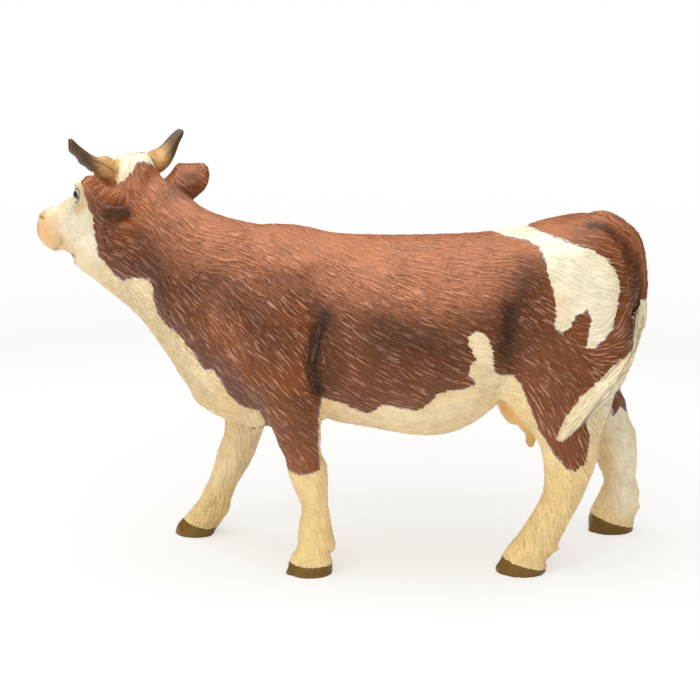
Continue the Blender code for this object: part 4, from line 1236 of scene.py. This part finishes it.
def shader_group(name, inputs, outputs):
    """A shader node group, with the nodes of its tree and its input sockets."""
    tree = bpy.data.node_groups.new(name, "ShaderNodeTree")
    for way, sockets in (("INPUT", inputs), ("OUTPUT", outputs)):
        for title, kind in sockets:
            tree.interface.new_socket(title, in_out=way, socket_type="NodeSocket" + kind)
    nodes = Nodes(tree)
    return tree, nodes, nodes.add("NodeGroupInput").outputs, nodes.add("NodeGroupOutput").inputs


def strand_group():
    """The same strokes as a shader group, for what the paint shows finer than the skin."""
    tree, nodes, given, out = shader_group(
        "hair_strokes", [(name, "Float") for name in STROKE_SOCKETS], [("Height", "Float")]
    )
    place = nodes.add("ShaderNodeTexCoord").outputs["Object"]
    height = stroke_height(nodes, place, nodes.attribute("hair_way", "Vector"), given)
    nodes.feed(out["Height"], height)
    return tree


def coat_group(strands):
    """The painted coat: brown and cream with their wash, fringe and marks, among them painted shade, painted
    highlights and painted light.
    """
    tree, nodes, given, out = shader_group(
        "painted_coat",
        (("Wash", "Float"), ("Ragged Edge", "Float")),
        (("Color", "Color"), ("Roughness", "Float"), ("Height", "Float")),
    )
    place = nodes.add("ShaderNodeTexCoord").outputs["Object"]
    read = nodes.attribute
    relief = read("relief")
    stroke = read("stroke")
    most = nodes.maths("MINIMUM", stroke, 1.0)
    bold = nodes.group(
        strands, Stroke_Width=STROKE_WIDTH, Stroke_Length=STROKE_LENGTH, Wave_Width=WAVE_WIDTH,
        Waviness=STROKE_WAVINESS, Contrast=STROKE_CONTRAST, Sharpness=CREST_SHARPNESS,
    )["Height"]
    fine = nodes.group(
        strands, Stroke_Width=FINE_WIDTH, Stroke_Length=FINE_LENGTH, Wave_Width=FINE_WAVE,
        Waviness=0.8, Contrast=7.0, Sharpness=1.3,
    )["Height"]
    grain = nodes.noise(place, 0.22 * MM, 2.0)
    cloud = nodes.noise(place, 3.5 * MM, 3.0)
    # The wash darkens the strokes' grooves: partly the paint's own wash, partly painted shade
    groove = nodes.times(nodes.ramp(fine, 0.0, -0.9), most)
    crest = nodes.times(nodes.ramp(bold, 0.0, 0.9), most)
    valley = nodes.times(nodes.ramp(bold, -0.2, -1.0), most)
    wash = nodes.times(nodes.maths("MAXIMUM", groove, nodes.times(valley, 0.5)), given["Wash"])

    # Paler brown on top: partly airbrushed paint, partly painted sheen
    brown = nodes.mix(read("pale"), BROWN, BROWN_PALE_SHEEN)
    # Painted light reflected from the floor greys the brown low down
    brown = nodes.mix(nodes.times(read("floor_bounce"), 0.8), brown, BROWN_FLOOR_BOUNCE)
    # Painted highlights on the stroke crests, weaker where the brown is already paler
    crest_highlight = nodes.times(crest, nodes.maths("MULTIPLY_ADD", read("pale"), -0.26, 0.52))
    brown = nodes.mix(crest_highlight, brown, BROWN_CREST_HIGHLIGHT)
    # Wash in the grooves, partly painted shade
    brown = nodes.mix(nodes.times(wash, 0.6), brown, BROWN_WASH_AND_SHADE)
    # Painted shade in the hollows and creases
    brown = nodes.mix(nodes.times(read("painted_shade"), 0.93), brown, BROWN_SHADE_AND_OUTLINE)
    # Painted highlights along rims and ridges
    brown = nodes.mix(read("rim"), brown, RIM_HIGHLIGHT_GREY)

    # Painted light on the cream
    cream = nodes.mix(read("light"), CREAM, CREAM_PAINTED_LIGHT)
    cream = nodes.mix(nodes.times(read("warm"), 0.85), cream, WARM_PINK)
    # Painted shade on the cream, olive in colour
    cream = nodes.mix(nodes.times(read("olive_shade"), 0.6), cream, OLIVE_SHADE)
    # The cream's wash grows where the floor's reflected light is painted and weakens under the painted light
    streaks = nodes.maths("MULTIPLY_ADD", read("floor_bounce"), 0.6, 0.40)
    streaks = nodes.times(streaks, nodes.maths("MULTIPLY_ADD", read("light"), -0.6, 1.0))
    # Wash in the grooves, partly painted shade
    cream = nodes.mix(nodes.times(wash, streaks), cream, CREAM_WASH_AND_SHADE)
    dotted = nodes.ramp(nodes.noise(place, 0.5 * MM, 1.0), 0.55, 0.68)
    cream = nodes.mix(nodes.times(nodes.times(dotted, read("speck")), 0.6), cream, FRINGE)

    ragged = nodes.maths("SUBTRACT", nodes.noise(place, 0.8 * MM, 2.0), 0.5)
    ragged = nodes.plus(nodes.times(ragged, given["Ragged Edge"]), nodes.times(relief, 0.16))
    edge = nodes.plus(read("cream"), ragged)
    shown = nodes.ramp(edge, -0.05, 0.07)
    colour = nodes.mix(shown, brown, cream)
    near = nodes.maths("ABSOLUTE", nodes.maths("SUBTRACT", edge, 0.08))
    fringe = nodes.times(nodes.ramp(near, 0.30, 0.06), nodes.ramp(cloud, 0.36, 0.56))
    colour = nodes.mix(nodes.times(fringe, 0.75), colour, FRINGE)

    tip = nodes.ramp(nodes.plus(read("horn_out"), nodes.times(cloud, 3.0)), 10.0, 15.5)
    horn = nodes.mix(tip, HORN_TAN, HORN_DARK)
    horn = nodes.mix(nodes.times(nodes.ramp(fine, -0.2, -0.9), 0.35), horn, HORN_DARK)
    colour = nodes.mix(nodes.ramp(read("horn"), 0.4, 0.6), colour, horn)
    # Painted shade on the udder, olive in colour
    udder = nodes.mix(nodes.times(read("olive_shade"), 0.8), UDDER_PINK, OLIVE_SHADE)
    colour = nodes.mix(nodes.ramp(read("udder"), 0.4, 0.6), colour, udder)
    rim = nodes.plus(read("hoof"), nodes.times(ragged, 0.5))
    on_hoof = nodes.ramp(rim, -0.04, 0.04)
    colour = nodes.mix(on_hoof, colour, HOOF_BROWN)
    colour = nodes.mix(read("line"), colour, DARK_LINE)
    # A dark painted line along the hooves' border
    outline = nodes.times(nodes.ramp(nodes.maths("ABSOLUTE", rim), 0.16, 0.02), 0.5)
    colour = nodes.mix(outline, colour, BROWN_SHADE_AND_OUTLINE)

    mottle = nodes.ramp(grain, 0.3, 0.7, 0.92, 1.06)
    mottle = nodes.times(mottle, nodes.ramp(cloud, 0.3, 0.7, 0.93, 1.06))
    colour = nodes.shaded(colour, mottle, 1.0)
    nodes.feed(out["Color"], colour)
    rough = nodes.ramp(cloud, 0.3, 0.7, 0.22, 0.29)
    nodes.feed(out["Roughness"], nodes.plus(rough, nodes.times(grain, 0.06)))
    height = nodes.times(bold, nodes.maths("MINIMUM", stroke, 1.5))
    height = nodes.times(height, 0.55)
    thin = nodes.times(fine, nodes.maths("MULTIPLY_ADD", most, 0.10, 0.03))
    nodes.feed(out["Height"], nodes.plus(nodes.plus(height, thin), nodes.times(grain, 0.05)))
    return tree


def painted(name, coat, wash, ragged):
    """A hand-painted satin finish over moulded vinyl."""
    made = bpy.data.materials.new(name)
    made.use_nodes = True
    nodes = Nodes(made.node_tree)
    shader = made.node_tree.nodes["Principled BSDF"]
    coating = nodes.group(coat, Wash=wash, Ragged_Edge=ragged)
    nodes.feed(shader.inputs["Base Color"], coating["Color"])
    nodes.feed(shader.inputs["Roughness"], coating["Roughness"])
    shader.inputs["Specular IOR Level"].default_value = 0.3
    bump = nodes.add("ShaderNodeBump")
    bump.inputs["Distance"].default_value = BUMP_DEPTH
    bump.inputs["Strength"].default_value = 1.0
    nodes.feed(bump.inputs["Height"], coating["Height"])
    nodes.feed(shader.inputs["Normal"], bump.outputs["Normal"])
    return made


def eye_material():
    made = bpy.data.materials.new("eye_gloss")
    made.use_nodes = True
    nodes = Nodes(made.node_tree)
    shader = made.node_tree.nodes["Principled BSDF"]
    place = nodes.add("ShaderNodeTexCoord").outputs["Object"]
    shade = nodes.noise(place, 0.7 * MM, 2.0)
    nodes.feed(shader.inputs["Base Color"], nodes.mix(nodes.ramp(shade, 0.4, 0.7), EYE_DARK, EYE_BLUE))
    nodes.feed(shader.inputs["Roughness"], nodes.ramp(shade, 0.3, 0.7, 0.12, 0.2))
    shader.inputs["Coat Weight"].default_value = 0.6
    return made


def eye_pieces(points, quads):
    """Glossy painted eyes, the left one where the photograph shows it and the right one opposite."""
    corners = [Vector(point) for point in points.tolist()]
    tree = BVHTree.FromPolygons(corners, quads.tolist())
    aim = (
        VIEW_WAY * FOCAL_PIXELS
        + VIEW_RIGHT * (EYE_PIXEL[0] - FRAME_PIXELS / 2)
        - VIEW_UP * (EYE_PIXEL[1] - FRAME_PIXELS / 2)
    )
    hit, normal, _, _ = tree.ray_cast(Vector(CAMERA_PLACE), Vector(aim).normalized())
    axes = Matrix(HEAD_AXES.tolist())
    place = axes.transposed() @ (hit - Vector(POLL_PLACE) - normal * (EYE_RADII[1] - EYE_STANDS_PROUD))
    gloss = eye_material()
    for name, side in (("left_eye", 1), ("right_eye", -1)):
        centre = Vector((place.x, place.y * side, place.z))
        mesh = bmesh.new()
        turn = Matrix.Rotation(math.radians(side * 24), 4, "Z")
        spot = Matrix.Translation(Vector(POLL_PLACE)) @ axes.to_4x4() @ Matrix.Translation(centre) @ turn
        shape = spot @ Matrix.Diagonal((*EYE_RADII, 1.0))
        bmesh.ops.create_uvsphere(mesh, u_segments=32, v_segments=20, radius=1, matrix=shape)
        bmesh.ops.recalc_face_normals(mesh, faces=mesh.faces)
        data = bpy.data.meshes.new(name)
        mesh.to_mesh(data)
        mesh.free()
        data.shade_smooth()
        data.materials.append(gloss)
        eye = new_object(name, data)
        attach(eye, "root")


def figure():
    """The whole cow, piece by piece."""
    points, quads, owner, labels = melted_skin()
    normals = point_normals(points, quads)
    fields = paint_fields(points, normals, owner)
    labels, lots = parted(points, quads, labels)

    points, quads, fields = finer(points, quads, fields)
    labels = np.repeat(labels, 4)
    normals = point_normals(points, quads)
    chart = Chart(points, normals)
    clear = 1 - on_forehead(points, normals, chart)
    points += normals * (chart.field(fold_height) * clear)[:, None]
    points[:, 2] = np.maximum(points[:, 2], 0)
    fields["line"] = chart.field(marks(LINE_MARKS)) * clear
    # Painted highlights along the ear's rim and the elbow's ridge
    fields["rim"] = chart.field(marks(RIM_HIGHLIGHT_MARKS)) * clear
    mesh = mesh_from("skin", points, quads)
    set_fields(mesh, fields)
    strands = strand_group()
    coat = coat_group(strands)
    finishes = {
        "brown_paint": painted("brown_paint", coat, 1.0, 1.0),
        "cream_paint": painted("cream_paint", coat, 0.9, 0.9),
        "horn_paint": painted("horn_paint", coat, 0.6, 0.4),
        "udder_paint": painted("udder_paint", coat, 0.5, 0.4),
    }
    mesh = combed_mesh(mesh, finishes["brown_paint"])
    points = points_of(mesh)
    quads = quads_of(mesh)
    normals = point_normals(points, quads)
    names = list(fields) + ["relief"]
    kept = {name: read_field(mesh, name, 3 if name == "hair_way" else 1) for name in names}
    eye_pieces(points, quads)
    slots = {row["node"]: row["material_slot"] for row in frame["record"]["subparts"]}
    for index, name in enumerate(lots):
        chosen = quads[labels == index]
        if not len(chosen):
            continue
        node = name if name in NODES else "head_and_neck" if name == "neck" else "torso"
        in_skull = node in ("head_and_neck", "left_horn", "right_horn") and name != "neck"
        heart = SKULL_HEART if in_skull else None
        drift = 0.0
        if node == "torso":
            middle = (points[chosen].reshape(-1, 3).min(0) + points[chosen].reshape(-1, 3).max(0)) / 2
            heart = np.array((middle[0], TORSO_MIDDLE, HEART_HEIGHT))
            drift = HEART_DRIFT
        finish = finishes[slots[node]]
        piece = closed_piece(name + "_painted", points, normals, chosen, kept, finish, heart, drift)
        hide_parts(node, *(EARS if name == "head_and_neck" else ()))
        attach(piece, "root")


def floor():
    """A wide pale table top that keeps the cow's shadow and runs out into the white surround."""
    mesh = bmesh.new()
    bmesh.ops.create_grid(mesh, x_segments=8, y_segments=8, size=4)
    data = bpy.data.meshes.new("table_top")
    mesh.to_mesh(data)
    mesh.free()
    top = new_object("table_top", data)
    made = bpy.data.materials.new("pale_table")
    made.use_nodes = True
    nodes = Nodes(made.node_tree)
    shader = made.node_tree.nodes["Principled BSDF"]
    output = made.node_tree.nodes["Material Output"]
    place = nodes.add("ShaderNodeTexCoord").outputs["Object"]
    tone = nodes.ramp(nodes.noise(place, 0.2, 2.0), 0.3, 0.7)
    away = nodes.add("ShaderNodeVectorMath", operation="LENGTH")
    nodes.feed(away.inputs[0], place)
    edge = nodes.ramp(away.outputs["Value"], 0.16, 0.34)
    pale = nodes.mix(tone, TABLE_SHADE, TABLE_LIGHT)
    nodes.feed(shader.inputs["Base Color"], nodes.mix(edge, pale, TABLE_EDGE))
    shader.inputs["Roughness"].default_value = 0.9
    far = nodes.ramp(away.outputs["Value"], 0.08, 0.5)
    white = nodes.add("ShaderNodeEmission")
    nodes.feed(white.inputs["Color"], nodes.mix(far, TABLE_GLOW, (1, 1, 1, 1)))
    rays = nodes.add("ShaderNodeLightPath")
    share = nodes.times(rays.outputs["Is Camera Ray"], nodes.ramp(far, 0.0, 0.4, 0.6, 1.0))
    blend = nodes.add("ShaderNodeMixShader")
    nodes.feed(blend.inputs[0], share)
    nodes.feed(blend.inputs[1], shader.outputs[0])
    nodes.feed(blend.inputs[2], white.outputs[0])
    nodes.feed(output.inputs["Surface"], blend.outputs[0])
    data.materials.append(made)


def studio():
    """A broad soft light from above, a weak one from the front left, a white surround and the camera."""
    world = bpy.data.worlds.new("surround")
    bpy.context.scene.world = world
    world.use_nodes = True
    nodes = Nodes(world.node_tree)
    back = world.node_tree.nodes["Background"]
    rays = nodes.add("ShaderNodeLightPath")
    shown = nodes.times(rays.outputs["Is Camera Ray"], 1 - SURROUND_STRENGTH)
    nodes.feed(back.inputs["Strength"], nodes.plus(shown, SURROUND_STRENGTH))
    back.inputs["Color"].default_value = (1, 1, 1, 1)

    boxes = (
        ("soft_box", SOFT_BOX_SIZE, SOFT_BOX_PLACE, SOFT_BOX_POWER, None),
        ("side_box", (SIDE_BOX_SIZE, SIDE_BOX_SIZE), SIDE_BOX_PLACE, SIDE_BOX_POWER, SIDE_BOX_AIM),
    )
    for name, size, place, power, aim in boxes:
        lamp = bpy.data.lights.new(name, "AREA")
        lamp.shape = "RECTANGLE"
        lamp.size, lamp.size_y = size
        lamp.energy = power
        box = bpy.data.objects.new(name, lamp)
        bpy.context.scene.collection.objects.link(box)
        box.location = place
        if aim:
            box.rotation_euler = (Vector(place) - Vector(aim)).to_track_quat("Z", "Y").to_euler()

    camera = bpy.data.cameras.new("camera")
    camera.sensor_width = 36
    camera.lens = camera.sensor_width * FOCAL_PIXELS / FRAME_PIXELS
    camera.clip_start = 0.01
    camera.clip_end = 20
    eye = bpy.data.objects.new("camera", camera)
    bpy.context.scene.collection.objects.link(eye)
    eye.location = CAMERA_PLACE
    eye.rotation_euler = (math.radians(90) - CAMERA_PITCH, 0, 0)
    bpy.context.scene.camera = eye
    bpy.context.scene.view_settings.view_transform = "Standard"


figure()
floor()
studio()
